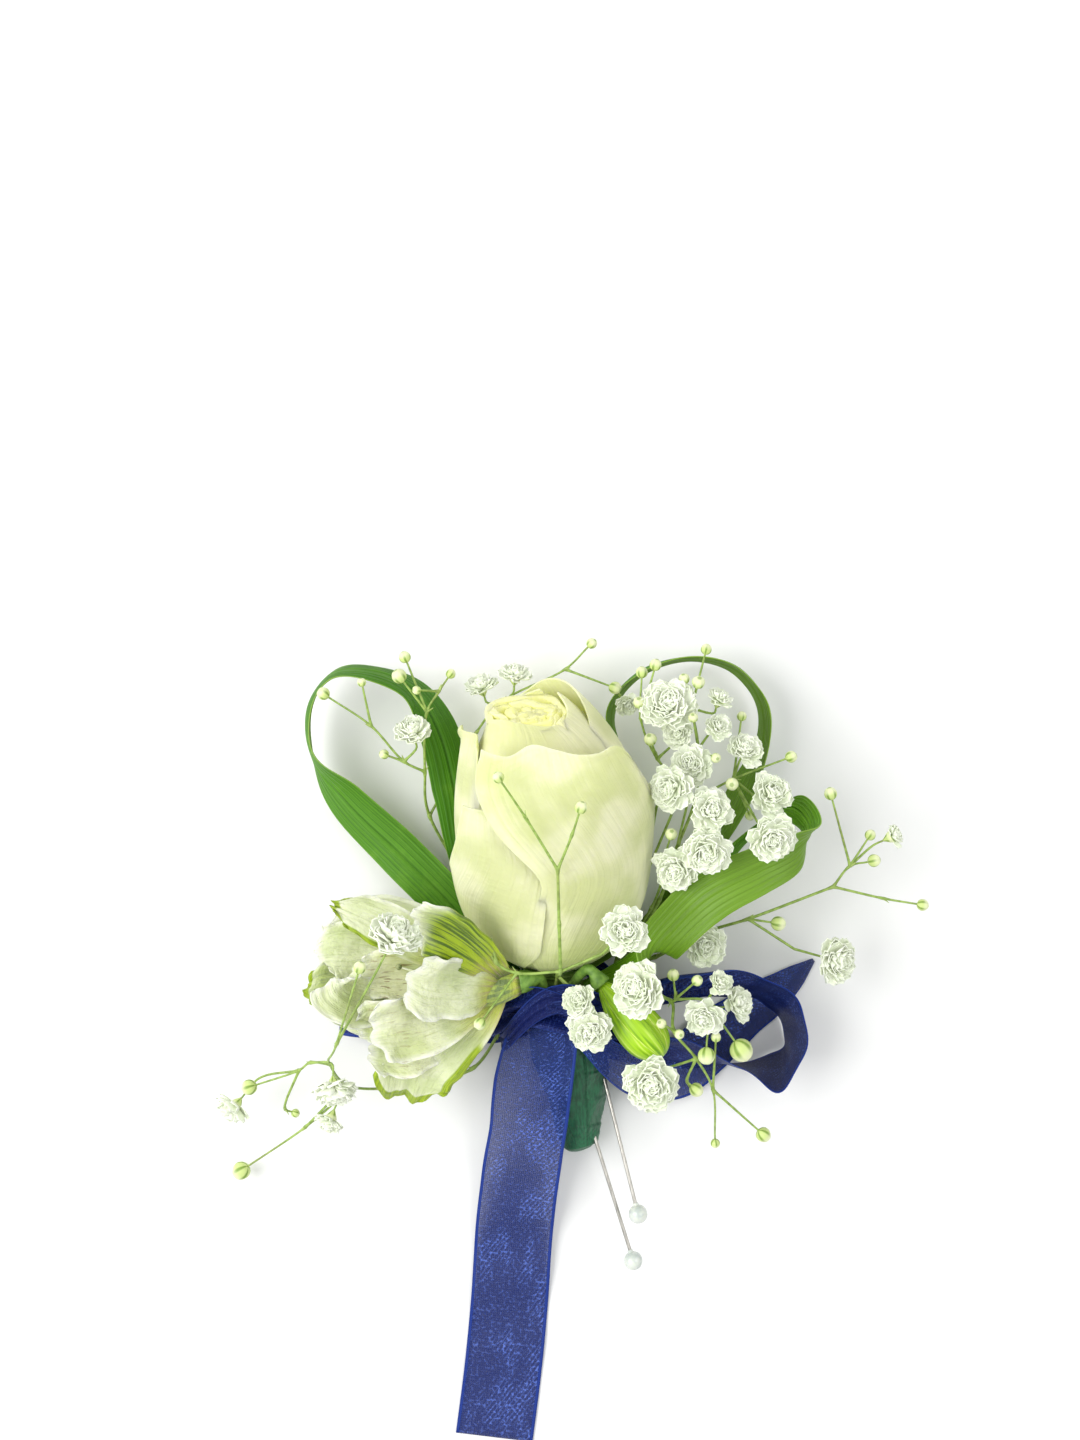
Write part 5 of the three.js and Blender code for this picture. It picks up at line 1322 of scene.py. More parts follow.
SPRIGS = (
    Sprig(
        "sprig_front", Stem.FRONT_SPRIG,
        joints=dict(
            start=(-3.8, 25.4, 21.6), node=(-3.4, 27.4, 31), belly=(-3.7, 37, 38.8), fork=(-4, 47.8, 42.8),
            east=(4.6, 31.2, 34.4), left=(-9.9, 57.5, 45), leftBud=(-14.9, 65, 47), right=(-1.4, 54.4, 45.2),
            rightBud=(0.2, 59.4, 46.6), west=(-11.8, 27, 30), westNode=(-15.6, 29, 31),
            curl=(-18.6, 34.8, 33), curlTip=(-22, 35, 33), hook=(-16.6, 34, 34.5), fall=(-18.7, 17.8, 33),
        ),
        twigs={
            "start node belly fork": 0, "fork left leftBud": 1.1, "fork right rightBud": 1.2, "node east": 0,
            "node west westNode curl curlTip": 0, "westNode hook": 0, "west fall": 1.2,
        },
        blooms=(
            Bloom(1, "east", (8.4, 36.2, 40), 4.5, (-0.05, 0.1, 0.99)),
            Bloom(3, "start", (0, 21.8, 29.5), 3.4, (-0.45, 0.3, 0.85)),
            Bloom(3, "start", (2.2, 15.6, 29), 4.3, (-0.1, -0.25, 0.95)),
        ),
    ),
    Sprig(
        "sprig_lower_right", Stem.LOWER_RIGHT_SPRIG,
        joints=dict(
            start=(9.4, 19.8, 13.8), heart=(18.4, 20.6, 23), split=(18.6, 15.6, 28), low=(23, 10, 27),
            fork=(26.5, 3.4, 24), tipA=(27.3, -7.8, 20), tipB=(36.7, -6.1, 20), riser=(26.7, 14.3, 28.5),
            drop=(21.3, 5.3, 25.5), dropBud=(23, 3.8, 25.5), upper=(19, 21.5, 26.5), budA=(18.5, 26.2, 28),
            budB=(22.8, 25.6, 31), budC=(16, 17.6, 32.5), budD=(19.4, 15.4, 31), hang=(24.8, 11.2, 29.5),
            halfOpen=(31.7, 11.7, 26), east=(25, 21, 27.5),
        ),
        twigs={
            "start heart split low fork tipA": 0.95, "fork tipB": 1.5, "fork riser": 1,
            "low drop dropBud": 1.4, "heart upper budA": 1.2, "upper budB": 1.1, "split budC": 1,
            "split budD": 1, "upper east hang": 1.7, "east halfOpen": 2.3,
        },
        blooms=(
            Bloom(2, "heart", (11, 24.4, 34), 5.1, (-0.5, 0.15, 0.85)),
            Bloom(4, "low", (14.2, 5.3, 29.4), 5.3, (0, -0.1, 0.99)),
            Bloom(5, "east", (24.2, 18.4, 31.6), 3.8, (0, -0.35, 0.94)),
            Bloom(6, "east", (27.4, 25.4, 31.6), 2.6, (0.3, 0.5, 0.8)),
            Bloom(7, "east", (31.8, 20.6, 26), 3.6, (0.75, 0.25, 0.6)),
        ),
    ),
    Sprig(
        "sprig_right", Stem.RIGHT_SPRIG,
        joints=dict(
            start=(7.6, 24.4, 6), trunk=(16.5, 39, 12), mid=(20, 50, 15.5), fork=(23.5, 60, 18),
            crown=(24, 70, 19.5), west=(16, 68, 18), westTop=(12.5, 76, 22), budA=(12.7, 84.9, 22),
            budB=(15.2, 86.3, 25), budC=(12, 79, 25.5), budD=(25.5, 89.5, 20), north=(22.5, 78, 21.5),
            budE=(20.8, 83.6, 25.5), budF=(23.4, 82.9, 27), budG=(22.3, 76.1, 28.5), budH=(26.6, 68.4, 29),
            east=(31, 64, 19), budI=(32.6, 76.3, 19), budJ=(29.9, 63.3, 27.5), budK=(42, 68.4, 21),
            budL=(34, 57, 21), budM=(14.4, 71.8, 22.5), low=(17.6, 50, 23), budN=(18, 53.6, 29),
            reedA=(13, 42, 12), reedB=(16, 59.6, 19), reedC=(15, 38, 14), reedD=(17, 45.4, 24),
            reedE=(11.6, 40, 8), reedF=(14, 54, 13), reedG=(19.6, 60, 24),
        ),
        twigs={
            "start trunk mid fork crown north": 0, "north budD": 1.1, "north budE": 1.1, "north budF": 1.3,
            "crown budG": 1, "crown budH": 1, "fork west westTop budA": 1.2, "westTop budB": 1.2,
            "westTop budC": 1.2, "west budM": 1.3, "fork east budK": 1.2, "east budI": 1, "east budJ": 1.3,
            "east budL": 1, "mid low budN": 1.2, "start reedA reedB": 0, "start reedC reedD": 0,
            "start reedE reedF": 0, "reedA reedG": 0,
        },
        blooms=(
            Bloom(8, "north", (17.6, 79, 27.5), 5.2, (-0.1, 0.35, 0.92)),
            Bloom(9, "west", (19.6, 73, 24.5), 3.2, (-0.3, 0, 0.95)),
            Bloom(10, "crown", (22, 67.2, 27.5), 4, (-0.15, 0.2, 0.95)),
            Bloom(11, "mid", (17.4, 62.6, 31.5), 4.3, (-0.5, -0.1, 0.85)),
            Bloom(12, "fork", (25.6, 58.6, 32.5), 4.4, (0.15, 0.25, 0.95)),
            Bloom(13, "mid", (24.4, 50.4, 34.5), 4.6, (0, -0.25, 0.96)),
            Bloom(14, "low", (18.6, 46.6, 30), 4.4, (-0.35, -0.3, 0.9)),
            Bloom(15, "east", (33, 70.4, 24), 3.6, (0.2, 0.6, 0.75)),
            Bloom(16, "east", (38, 61.6, 26.5), 4.2, (0.25, 0.3, 0.9)),
            Bloom(17, "east", (37, 53, 34.6), 4.5, (0.15, -0.2, 0.96)),
            Bloom(18, "north", (28, 80.4, 24.5), 2.6, (0.25, 0.75, 0.6)),
            Bloom(19, "crown", (27.6, 74.6, 25.6), 2.8, (0.3, 0.3, 0.9)),
        ),
    ),
    Sprig(
        "sprig_far", Stem.FAR_SPRIG,
        joints=dict(
            start=(3.6, 22.6, 4), bend=(16.5, 27, 3.6), under=(27, 33, 10), node=(34.2, 36, 16),
            budA=(40, 35.2, 16.4), arm=(50.9, 42.6, 18), rise=(54.1, 46.8, 19), budB=(58.5, 47.9, 20),
            budC=(58, 52.8, 19), reach=(60.8, 40.3, 18), tip=(68.5, 39, 18), hang=(44, 29.5, 11.5),
            leafTip=(50, 61, 21),
        ),
        twigs={
            "start bend under node arm": 0, "node budA": 1.5, "arm rise budB": 1.3, "rise budC": 1.1,
            "arm reach tip": 1.2, "rise leafTip": 1.3, "node hang": 0,
        },
        blooms=(
            Bloom(20, "under", (25.6, 30.6, 17.5), 4.2, (0.1, -0.1, 0.98)),
            Bloom(21, "hang", (52.6, 27.4, 15), 4.6, (0.6, -0.1, 0.8)),
            Bloom(22, "rise", (63, 53.2, 20.5), 2.4, (0.8, 0.45, 0.4)),
        ),
    ),
    Sprig(
        "sprig_top_left", Stem.TOP_LEFT_SPRIG,
        joints=dict(
            start=(-12.5, 24.5, 3), low=(-21, 40, 1.2), side=(-30, 56, 4), root=(-30.4, 65.3, 13.5),
            up=(-29.8, 77.3, 17), fork=(-27.4, 81.4, 17), budA=(-25.2, 84.8, 16), budB=(-34, 88, 19),
            budC=(-35, 84.2, 20), budD=(-31.6, 81.6, 19.5), west=(-34.5, 67.4, 15),
            westFork=(-40.9, 74.5, 17), budE=(-50, 80.8, 19.5), budF=(-42.5, 83, 20), budG=(-38.3, 68.8, 16),
            back=(-20.5, 73, 3.2), backFork=(-15, 79.5, 6), budH=(3, 91, 13), budI=(-2.2, 86, 9.5),
            budJ=(7.6, 82.2, 13.5),
        ),
        twigs={
            "start low side root up fork budA": 1, "up budB": 1.2, "up budC": 1.5, "fork budD": 0.9,
            "root west westFork budE": 1.3, "westFork budF": 0.9, "west budG": 1,
            "side back backFork budI budH": 1.1, "budI budJ": 1.3,
        },
        blooms=(
            Bloom(23, "west", (-32.4, 74.2, 20.5), 3.8, (-0.1, 0.75, 0.6)),
            Bloom(24, "backFork", (-19.6, 83.2, 11), 3.2, (-0.3, 0.8, 0.45)),
            Bloom(25, "backFork", (-12.2, 85.6, 11.5), 3.2, (0.1, 0.85, 0.45)),
            Bloom(26, "budJ", (10.4, 78.6, 15), 2.6, (0.3, -0.4, 0.85)),
        ),
    ),
    Sprig(
        "sprig_lower_left", Stem.LOWER_LEFT_SPRIG,
        joints=dict(
            start=(-11.6, 18.4, 10.6), under=(-15.6, 12, 7.6), out=(-21, 4.6, 6.6), low=(-33, 1.4, 8),
            rise=(-45, 2, 13.5), hub=(-48.4, 8.4, 24), up=(-45.4, 15, 41), budA=(-40.8, 29.6, 44),
            elbow=(-52.4, 8.4, 22), knee=(-55, 6.4, 19.5), budB=(-65.2, 2.4, 15.5),
            twiglet=(-58.4, -2.3, 14), budC=(-56.6, -3.4, 12.5), south=(-55, -7, 9), budD=(-68.5, -16.8, 4),
        ),
        twigs={
            "start under out low rise hub up budA": 1.2, "hub elbow knee budB": 1.6,
            "knee twiglet budC": 0.9, "rise south budD": 1.9,
        },
        blooms=(
            Bloom(27, "up", (-33.8, 36.4, 44.4), 4.9, (0.4, 0.75, 0.53)),
            Bloom(28, "elbow", (-47, 3.2, 28.5), 4.4, (0.1, -0.85, 0.3)),
            Bloom(29, "south", (-49.4, -4.8, 17.5), 3, (-0.3, -0.8, 0.35)),
            Bloom(30, "knee", (-69.6, -3, 13), 3.7, (-0.6, -0.7, 0.3)),
        ),
    ),
)


def host_of(name: str, points: list[Array], edges: Array, **values: Array) -> Object:
    """Makes the mesh that a tree grows on.

    Args:
        name: its name.
        points: its points in millimetres, in any number of arrays.
        edges: its edges, as pairs of point numbers.
        values: numbers or vectors for its points, by the attribute's name.

    Returns:
        The object, linked to the scene.
    """
    mesh = bpy.data.meshes.new(name)
    mesh.from_pydata((np.vstack(points) * MM).tolist(), edges.tolist(), [])
    for key, value in values.items():
        kind, part = ("FLOAT", "value") if value.ndim == 1 else ("FLOAT_VECTOR", "vector")
        mesh.attributes.new(key, kind, "POINT").data.foreach_set(part, value.ravel())
    return linked(name, mesh)


@dataclass
class PointCloud:
    """Places for small repeated shapes, each with the way it points and its size in millimetres."""

    at: list[Array] = field(default_factory=list)
    aim: list[Array] = field(default_factory=list)
    size: list[float] = field(default_factory=list)

    def add(self, at: Array, aim: Array, size: float) -> None:
        """Adds one place."""
        self.at.append(at)
        self.aim.append(unit(aim))
        self.size.append(size)

    def host(self) -> Object:
        """Returns a mesh of loose vertices with the aim and size attributes."""
        return host_of("places", self.at, np.array([]), aim=np.array(self.aim), size=vec(self.size))


@dataclass
class Chains:
    """Paths of points with a radius at each, which a tree turns into round twigs."""

    at: list[Array] = field(default_factory=list)
    radius: list[Array] = field(default_factory=list)

    def add(self, path: Array, radius: Array) -> None:
        """Adds one path, kept above the table."""
        self.at.append(np.column_stack([path[:, :2], np.maximum(path[:, 2], radius + TABLE_GAP)]))
        self.radius.append(radius)

    def host(self) -> Object:
        """Returns a mesh of edges with the radius attribute."""
        ends = np.cumsum([len(path) for path in self.at])
        index = np.delete(np.arange(ends[-1]), ends - 1)
        edges = np.column_stack([index, index + 1])
        return host_of("paths", self.at, edges, radius=np.concatenate(self.radius) * MM)


@dataclass
class BabysBreath:
    """Baby's breath: thin jointed twigs, ribbed buds, green cups and double blooms."""

    binding: Binding
    main_radius: float = 0.45
    side_radius: float = 0.27
    tip_radius: float = 0.19
    joint_swell: float = 0.6
    joint_length: float = 0.65
    path_step: float = 0.7
    bud_foot: float = 0.85
    bract_size: float = 0.9
    cup_size: float = 1.05
    cup_height: float = 1.9
    cup_bend: float = 0.3
    bloom_seat: float = 0.42
    bloom_size: float = 1.08
    fewest_petals: int = 34
    most_petals: int = 84
    smallest_bloom: float = 2.4
    bloom_range: float = 2.8

    def __post_init__(self) -> None:
        """Builds the trees, the finishes and the small shapes that repeat."""
        self.twigs = twig_grower()
        self.tips = tip_grower()
        self.flowers = bloom_grower()
        self.sepal = SepalFinish("ribbed_sepals").make()
        self.floret = FloretFinish("babys_breath_petals").make()
        self.shapes = {"buds": self.bud(), "cups": self.cup(), "bracts": self.bract()}

    def ribbed(self, heights: Array, radii: Array, name: str) -> Object:
        """Makes a small five-ribbed shape about +Z, one millimetre standing for one unit of size.

        Args:
            heights: the height of each ring.
            radii: the radius of each ring.
            name: the shape's name.

        Returns:
            The shape, which no scene holds.
        """
        rib = 0.5 + 0.5 * np.cos(5 * round_turn(20))
        rings = rings_about_z(radii[:, None] * (1 + 0.06 * rib), heights)
        skin = Skin()
        skin.add_tube(rings, tone=rib, rim=steps(len(heights))[:, None])
        return bpy.data.objects.new(name, skin.mesh(name, self.sepal))

    def bud(self) -> Object:
        """Returns a closed bud of radius one, foot at the origin."""
        turn = steps(13)
        heights = 1.0 - np.cos(turn * math.pi * 0.93)
        radii = np.maximum(np.sin(turn * math.pi * 0.93), 0.16) * (1 - 0.1 * turn)
        return self.ribbed(heights, radii, "bud_shape")

    def cup(self) -> Object:
        """Returns a bell-shaped green cup two units tall, foot at the origin."""
        turn = steps(9)
        radii = 0.25 + 0.95 * np.sin(turn * math.pi / 2) ** 1.2
        return self.ribbed(2.0 * turn, radii, "cup_shape")

    def bract(self) -> Object:
        """Returns a tiny scale leaf one and a half units long, lying close to its twig."""
        u, v, side = sheet_sides(9, 5)
        half = 0.34 * (1 - v**1.8) + 0.03
        grid = np.stack([half * side, 0.32 + 0.5 * v**1.5 - 0.25 * side**2 * (1 - v), 1.5 * v], axis=-1)
        skin = Skin()
        skin.add_sheet(grid, 0.12, (u, v), tone=0.7, rim=0.2 * v)
        return bpy.data.objects.new("bract_shape", skin.mesh("bract_shape", self.sepal))

    def petal(self) -> Object:
        """Returns one floret petal, one millimetre long, as the host of a bloom's tree."""
        u, v, side = sheet_sides(6, 5)
        half = 0.07 + 0.25 * np.sin(math.pi * np.minimum(1, v**1.5 * 0.82)) ** 0.8
        notch = (0.07 * np.exp(-((side / 0.35) ** 2)) + 0.16 * side**4) * v**3
        up = 0.3 * v**2 + 0.05 * np.sin(2.2 * math.pi * side + 0.6) * v + 0.1 * side**2 * v
        grid = np.stack([half * side, v - notch, up], axis=-1)
        skin = Skin()
        skin.add_sheet(grid, 0.035, (u, v))
        return linked("floret_petal", skin.mesh("floret_petal", self.floret))

    def twig_path(self, points: list[Array]) -> Array:
        """Returns a smooth path of eight points or more, about a path step apart."""
        length = sum(np.linalg.norm(b - a) for a, b in zip(points, points[1:]))
        return smooth(points, steps(max(8, int(length / self.path_step))))

    def twig_radius(self, path: Array, joints: list[Array], start: float, end: float) -> Array:
        """Returns the radius along a path, tapered and swollen at its joints."""
        taper = np.linspace(start, end, len(path))
        swell = np.zeros(len(path))
        for joint in joints:
            nearness = np.linalg.norm(path - joint, axis=1) / self.joint_length
            swell = np.maximum(swell, np.exp(-(nearness**2)))
        return taper * (1 + self.joint_swell * swell)

    def build_bloom(self, bloom: Bloom, seed: int) -> None:
        """Builds one double bloom over its cup."""
        growth = np.clip((bloom.radius - self.smallest_bloom) / self.bloom_range, 0, 1)
        petals = int(mix(self.fewest_petals, self.most_petals, growth))
        node = f"bloom_{bloom.number:02}"
        name = f"{node}_petals_{seed}"
        piece = self.flowers.grow(self.petal(), name, Petals=petals, Seed=seed, Material=self.floret)
        turn = Matrix(facing(bloom.face).tolist()).to_4x4()
        foot = vec(bloom.at) - unit(bloom.face) * bloom.radius * self.bloom_seat
        size = Matrix.Scale(bloom.radius * self.bloom_size, 4)
        piece.data.transform(Matrix.Translation(Vector(foot * MM)) @ turn @ size)
        settle(piece, "gypsophila_bloom", node)

    def build_sprig(self, sprig: Sprig, seed: int) -> None:
        """Builds a sprig's twigs, then its buds, cups and bracts, then its blooms."""
        chains = Chains()
        clouds = {part: PointCloud() for part in self.shapes}
        joints = {name: vec(p) for name, p in sprig.joints.items()}
        forks = [joints[name] for names in sprig.twigs for name in names.split()[:-1]]
        for order, (names, bud) in enumerate(sprig.twigs.items()):
            points = [joints[name] for name in names.split()]
            heading = unit(points[-1] - points[-2])
            start = self.side_radius
            end = self.side_radius
            if bud:
                points[-1] = points[-1] - heading * bud * self.bud_foot
                end = self.tip_radius
                clouds["buds"].add(points[-1], heading, bud)
            if order == 0:
                points = self.binding.root(sprig.stem) + points
                start = self.main_radius
            path = self.twig_path(points)
            chains.add(path, self.twig_radius(path, forks, start, end))
            for joint, ahead in zip(points[1:-1], points[2:]):
                clouds["bracts"].add(joint, ahead - joint, self.bract_size)
        for bloom in sprig.blooms:
            face = unit(bloom.face)
            foot = vec(bloom.at) - face * (bloom.radius * self.bloom_seat + self.cup_height)
            start = joints[bloom.start]
            bend = foot - face * self.cup_bend * np.linalg.norm(foot - start)
            path = self.twig_path([start, bend, foot])
            chains.add(path, self.twig_radius(path, forks, self.side_radius, self.tip_radius))
            clouds["cups"].add(foot, face, self.cup_size)
        bark = TwigFinish(f"{sprig.node}_bark", browning=0.2).make()
        twigs = self.twigs.grow(chains.host(), f"{sprig.node}_twigs", Sides=8, Material=bark)
        settle(twigs, "twig_green", sprig.node)
        for part, cloud in clouds.items():
            if cloud.at:
                inputs = {"Head": self.shapes[part], "Seed": seed, "Material": self.sepal}
                tips = self.tips.grow(cloud.host(), f"{sprig.node}_{part}", **inputs)
                settle(tips, "twig_green", sprig.node)
        for order, bloom in enumerate(sprig.blooms):
            self.build_bloom(bloom, seed * 10 + order)


# The alstroemeria and its bud.


@dataclass(frozen=True)
class TepalPlan:
    """One tepal along its middle line, with its widths there, at even steps from the throat.

    Faces are the ways its hollow side looks at its foot and at its tip. Cup is how hollow it is, ruffle
    how far its rim waves, roll how far the rim turns under, lip how lime its lower rim and its tip are,
    flush how lime it is along its foot, or how flecked below zero, and tint how lime it is all over."""

    line: tuple[Point, ...]
    widths: tuple[float, ...]
    faces: tuple[Point, Point]
    cup: float
    ruffle: float
    roll: float = 0.25
    lip: float = 0.0
    flush: float = 0.0
    tint: float = 0.0


TEPALS = (
    TepalPlan(
        ((-17.3, 21.7, 15), (-27.6, 19, 10), (-37.8, 17.7, 8), (-47, 18.7, 8), (-52, 19.9, 9)),
        (5, 12, 14, 11, 6), ((0, 0, 1), (0, 0, 1)), cup=1.5, ruffle=0.6, tint=0.35,
    ),
    TepalPlan(
        ((-17.2, 26, 17), (-27.3, 31.4, 16), (-36.3, 34.1, 15), (-44.2, 35, 16), (-49.1, 34.3, 17)),
        (5, 11, 13, 11, 6), ((0, -0.3, 1), (0, 0, 1)), cup=1.5, ruffle=0.7,
    ),
    TepalPlan(
        ((-19.3, 23.8, 16), (-33.1, 27.7, 18), (-41.9, 29.7, 20), (-47.6, 30.5, 22), (-51.4, 29.4, 21)),
        (4, 9, 11, 11, 7), ((0, -0.2, 1), (-0.3, 0.2, 1)), cup=-1, ruffle=0.6, tint=0.15,
    ),
    TepalPlan(
        ((-15.2, 23.6, 20), (-21, 16.9, 23), (-28, 11, 25), (-32.1, 5.8, 24.5), (-33.8, -0.1, 22)),
        (5, 10.5, 14.5, 15, 13), ((0, 0.1, 1), (0.1, -0.3, 1)), cup=2.2, ruffle=0.5, lip=1, roll=1.1,
    ),
    TepalPlan(
        ((-19.3, 22.9, 15), (-35.2, 22.8, 17), (-44.8, 23.2, 20), (-50, 23, 23), (-53.8, 22.4, 23)),
        (4, 8, 9.5, 9, 5), ((0, 0.3, 1), (-0.4, 0.4, 0.8)), cup=1.6, ruffle=0.9, lip=0.9, tint=0.45,
    ),
    TepalPlan(
        ((-17.2, 23.3, 18), (-27.1, 25.1, 20), (-34.9, 25.7, 21), (-40.4, 25.3, 21), (-44.4, 24.7, 20)),
        (4, 9, 10, 9, 6), ((0, 0.2, 1), (0, 0.2, 1)), cup=1, ruffle=0.6, flush=-0.8, tint=0.15,
    ),
    TepalPlan(
        ((-19.2, 25.9, 20), (-30.7, 31.8, 25), (-37.3, 36, 28), (-43, 38.6, 29), (-47.8, 40, 27)),
        (4, 8, 9, 7, 2.5), ((0, -0.3, 1), (0, 0.3, 1)), cup=-0.8, ruffle=0.6, lip=0.7,
    ),
    TepalPlan(
        ((-21.2, 22, 17), (-35, 20.4, 20), (-42.1, 20.6, 24), (-46, 23.1, 28), (-47.2, 25.8, 28)),
        (4, 8, 11, 12, 6), ((0, 0.3, 1), (-0.2, 0.6, 0.8)), cup=1.2, ruffle=0.7,
    ),
    TepalPlan(
        ((-21.2, 20.1, 18), (-32.8, 17.1, 22), (-38.8, 17, 26), (-43.4, 15.9, 27)),
        (4, 8, 9, 6), ((0, 0.1, 1), (0, -0.2, 1)), cup=1, ruffle=1.1, flush=-0.6,
    ),
    TepalPlan(
        ((-19.2, 18.3, 19), (-28.8, 12.7, 24), (-34.8, 10.9, 27), (-40.6, 11.1, 28)),
        (4, 9, 9.5, 6), ((0, 0.1, 1), (0, -0.2, 1)), cup=1.2, ruffle=1.1, flush=-0.5, tint=0.1,
    ),
    TepalPlan(
        ((-16, 22.1, 21), (-23.8, 18.5, 26), (-30.4, 16.8, 30), (-35.6, 16.3, 33), (-39.8, 15.3, 33)),
        (4, 9, 12.5, 12.5, 8), ((0, 0, 1), (-0.2, -0.1, 1)), cup=1.6, ruffle=1.1, flush=-0.4,
    ),
    TepalPlan(
        ((-15.2, 23.4, 22), (-19.3, 23.7, 27), (-24.2, 24.1, 31), (-28.6, 25, 34), (-32.6, 26.7, 35)),
        (5, 10, 12.5, 12.5, 9), ((0, -0.2, 1), (-0.3, 0, 1)), cup=1.8, ruffle=0.9, flush=-0.2,
    ),
    TepalPlan(
        ((-14.9, 25.5, 24), (-18.4, 29.4, 31), (-22.9, 33.3, 35), (-27.7, 36.2, 37), (-32.4, 37.5, 35)),
        (4.5, 8.5, 11, 11.5, 8), ((0, -0.5, 0.85), (-0.1, -0.4, 0.9)), cup=1.6, ruffle=0.5, flush=1.25,
        roll=0.9,
    ),
)


@dataclass
class Alstroemeria:
    """A double alstroemeria bloom lying on its side, its ruffled tepals in a funnel round its stamens."""

    binding: Binding
    throat: Point = (-11.4, 24, 20.4)
    axis: Point = (-0.975, -0.15, 0.14)
    squash: float = 0.72
    thickness: float = 0.26
    funnel_height: float = 8
    funnel_radii: tuple[float, float] = (2.4, 4.3)
    stamens: int = 6
    knee: Point = (-6.2, 20.8, 17.4)
    ovary_length: float = 4.4
    path_rows: int = 40
    ovary_rows: int = 12
    sides: int = 24

    def __post_init__(self) -> None:
        """Works out the turn that lays the bloom on its side."""
        self.forward = unit(self.axis)
        up = unit(np.array([0, 0, 1.0]) - self.forward * self.forward[2])
        self.turn = np.column_stack([np.cross(up, self.forward), up * self.squash, self.forward])

    def placed(self, points: Array) -> Array:
        """Returns points of the bloom's own frame, laid down in the part's frame."""
        return points @ self.turn.T + vec(self.throat)

    def tepal(self, plan: TepalPlan, seed: float) -> Sheet:
        """Shapes a tepal.

        Args:
            plan: its sizes.
            seed: a number that sets how its rim waves.

        Returns:
            Its grid, and its u and v.
        """
        u, v, side = sheet_sides(46, 34)
        edge = np.abs(side)
        along = v * (1 - 0.16 * side**2 * v**2 + 0.035 * np.sin(7 * side + seed) * v**4)
        stops = np.column_stack([plan.line, plan.widths])
        line, before, after = (
            smooth(stops, (along + step).ravel()).reshape(*v.shape, 4) for step in (0, -0.04, 0.04)
        )
        ahead = (after - before)[..., :3]
        face = mix(vec(plan.faces[0]), vec(plan.faces[1]), along[..., None])
        across = unit(np.cross(face, ahead))
        normal = unit(np.cross(ahead, across))
        half = line[..., 3] / 2 * (1 + 0.05 * np.sin(17 * v + 3 * seed + 2 * np.sign(side)) * v)
        lift = plan.cup * (side**2 - 0.35) * smoothstep(0, 0.4, v)
        lift -= 0.45 * np.exp(-((side / 0.1) ** 2)) * np.sin(math.pi * v)
        lift += plan.ruffle * edge**1.5 * v**0.8 * np.sin(12 * v + 2.5 * np.sign(side) + seed)
        lift += 0.7 * plan.ruffle * v**5 * np.sin(6 * side + 2 * seed)
        lift += 0.22 * np.sin(13 * side + 6 * v + seed) * v**2
        lift += 0.55 * edge**5 * np.sin(31 * v + 5 * side + seed) * v
        lift += 0.5 * v**9 * np.sin(17 * side + 3 * seed)
        lift += 0.16 * np.sin(23 * side + 9 * v + 2 * seed) * np.sin(15 * v - 4 * side) * v
        rim = np.maximum(edge * smoothstep(0.1, 0.35, v), v)
        lift -= plan.roll * smoothstep(0.84, 1.0, rim) ** 2
        return line[..., :3] + across * (half * side)[..., None] + normal * lift[..., None], (u, v)

    def build_bloom(self, finish: TepalFinish) -> None:
        """Builds the tepals and the funnel that they leave."""
        skin = Skin()
        for order, plan in enumerate(TEPALS):
            grid, (u, v) = self.tepal(plan, 1.9 * order)
            thickness = self.thickness * mix(1.4, 0.7, v)
            flush = plan.flush * smoothstep(0.95, 0.6, v) if plan.flush > 0 else plan.flush
            tone = flush + plan.tint * (0.7 + 0.3 * np.cos(9 * v))
            lip = smoothstep(0.72, 0.84, 2 * u - 1) * smoothstep(0.2, 0.4, v)
            lip = np.maximum(lip, smoothstep(0.88, 0.94, v))
            skin.add_sheet(grid, thickness, (u, v), tone=tone, rim=plan.lip * lip)
        heights = np.linspace(0, self.funnel_height, 10)
        ribs = 1 + 0.05 * np.cos(6 * round_turn(36))
        radii = mix(*self.funnel_radii, (heights / self.funnel_height) ** 0.8)
        skin.add_tube(self.placed(rings_about_z(radii[:, None] * ribs, heights)), tone=0.7)
        skin.build("alstroemeria_tepals", finish.make(), "alstroemeria_tepals", "alstroemeria_bloom")

    def build_stamens(self, filament: TwigFinish, anther: SepalFinish, breath: BabysBreath) -> None:
        """Builds the curved filaments, each with a small anther."""
        chains, anthers = Chains(), PointCloud()
        for k in range(self.stamens):
            angle = math.radians(360 / self.stamens * k + 20)
            reach = np.linspace(6, 21 + 1.7 * math.sin(2.4 * k), 16)
            out = 1.2 + 0.012 * reach**2 * (0.7 + 0.3 * math.cos(1.9 * k))
            path = self.placed(np.column_stack([out * math.cos(angle), out * math.sin(angle), reach]))
            chains.add(path, np.linspace(0.35, 0.2, 16))
            anthers.add(path[-1], path[-1] - path[-2] + [0, 0, 0.2], 0.62)
        pale, dusty = filament.make(), anther.make()
        threads = breath.twigs.grow(chains.host(), "alstroemeria_filaments", Sides=8, Material=pale)
        head = breath.shapes["buds"]
        tips = breath.tips.grow(anthers.host(), "alstroemeria_anthers", Head=head, Seed=5, Material=dusty)
        for piece in (threads, tips):
            settle(piece, "alstroemeria_tepals", "alstroemeria_bloom")

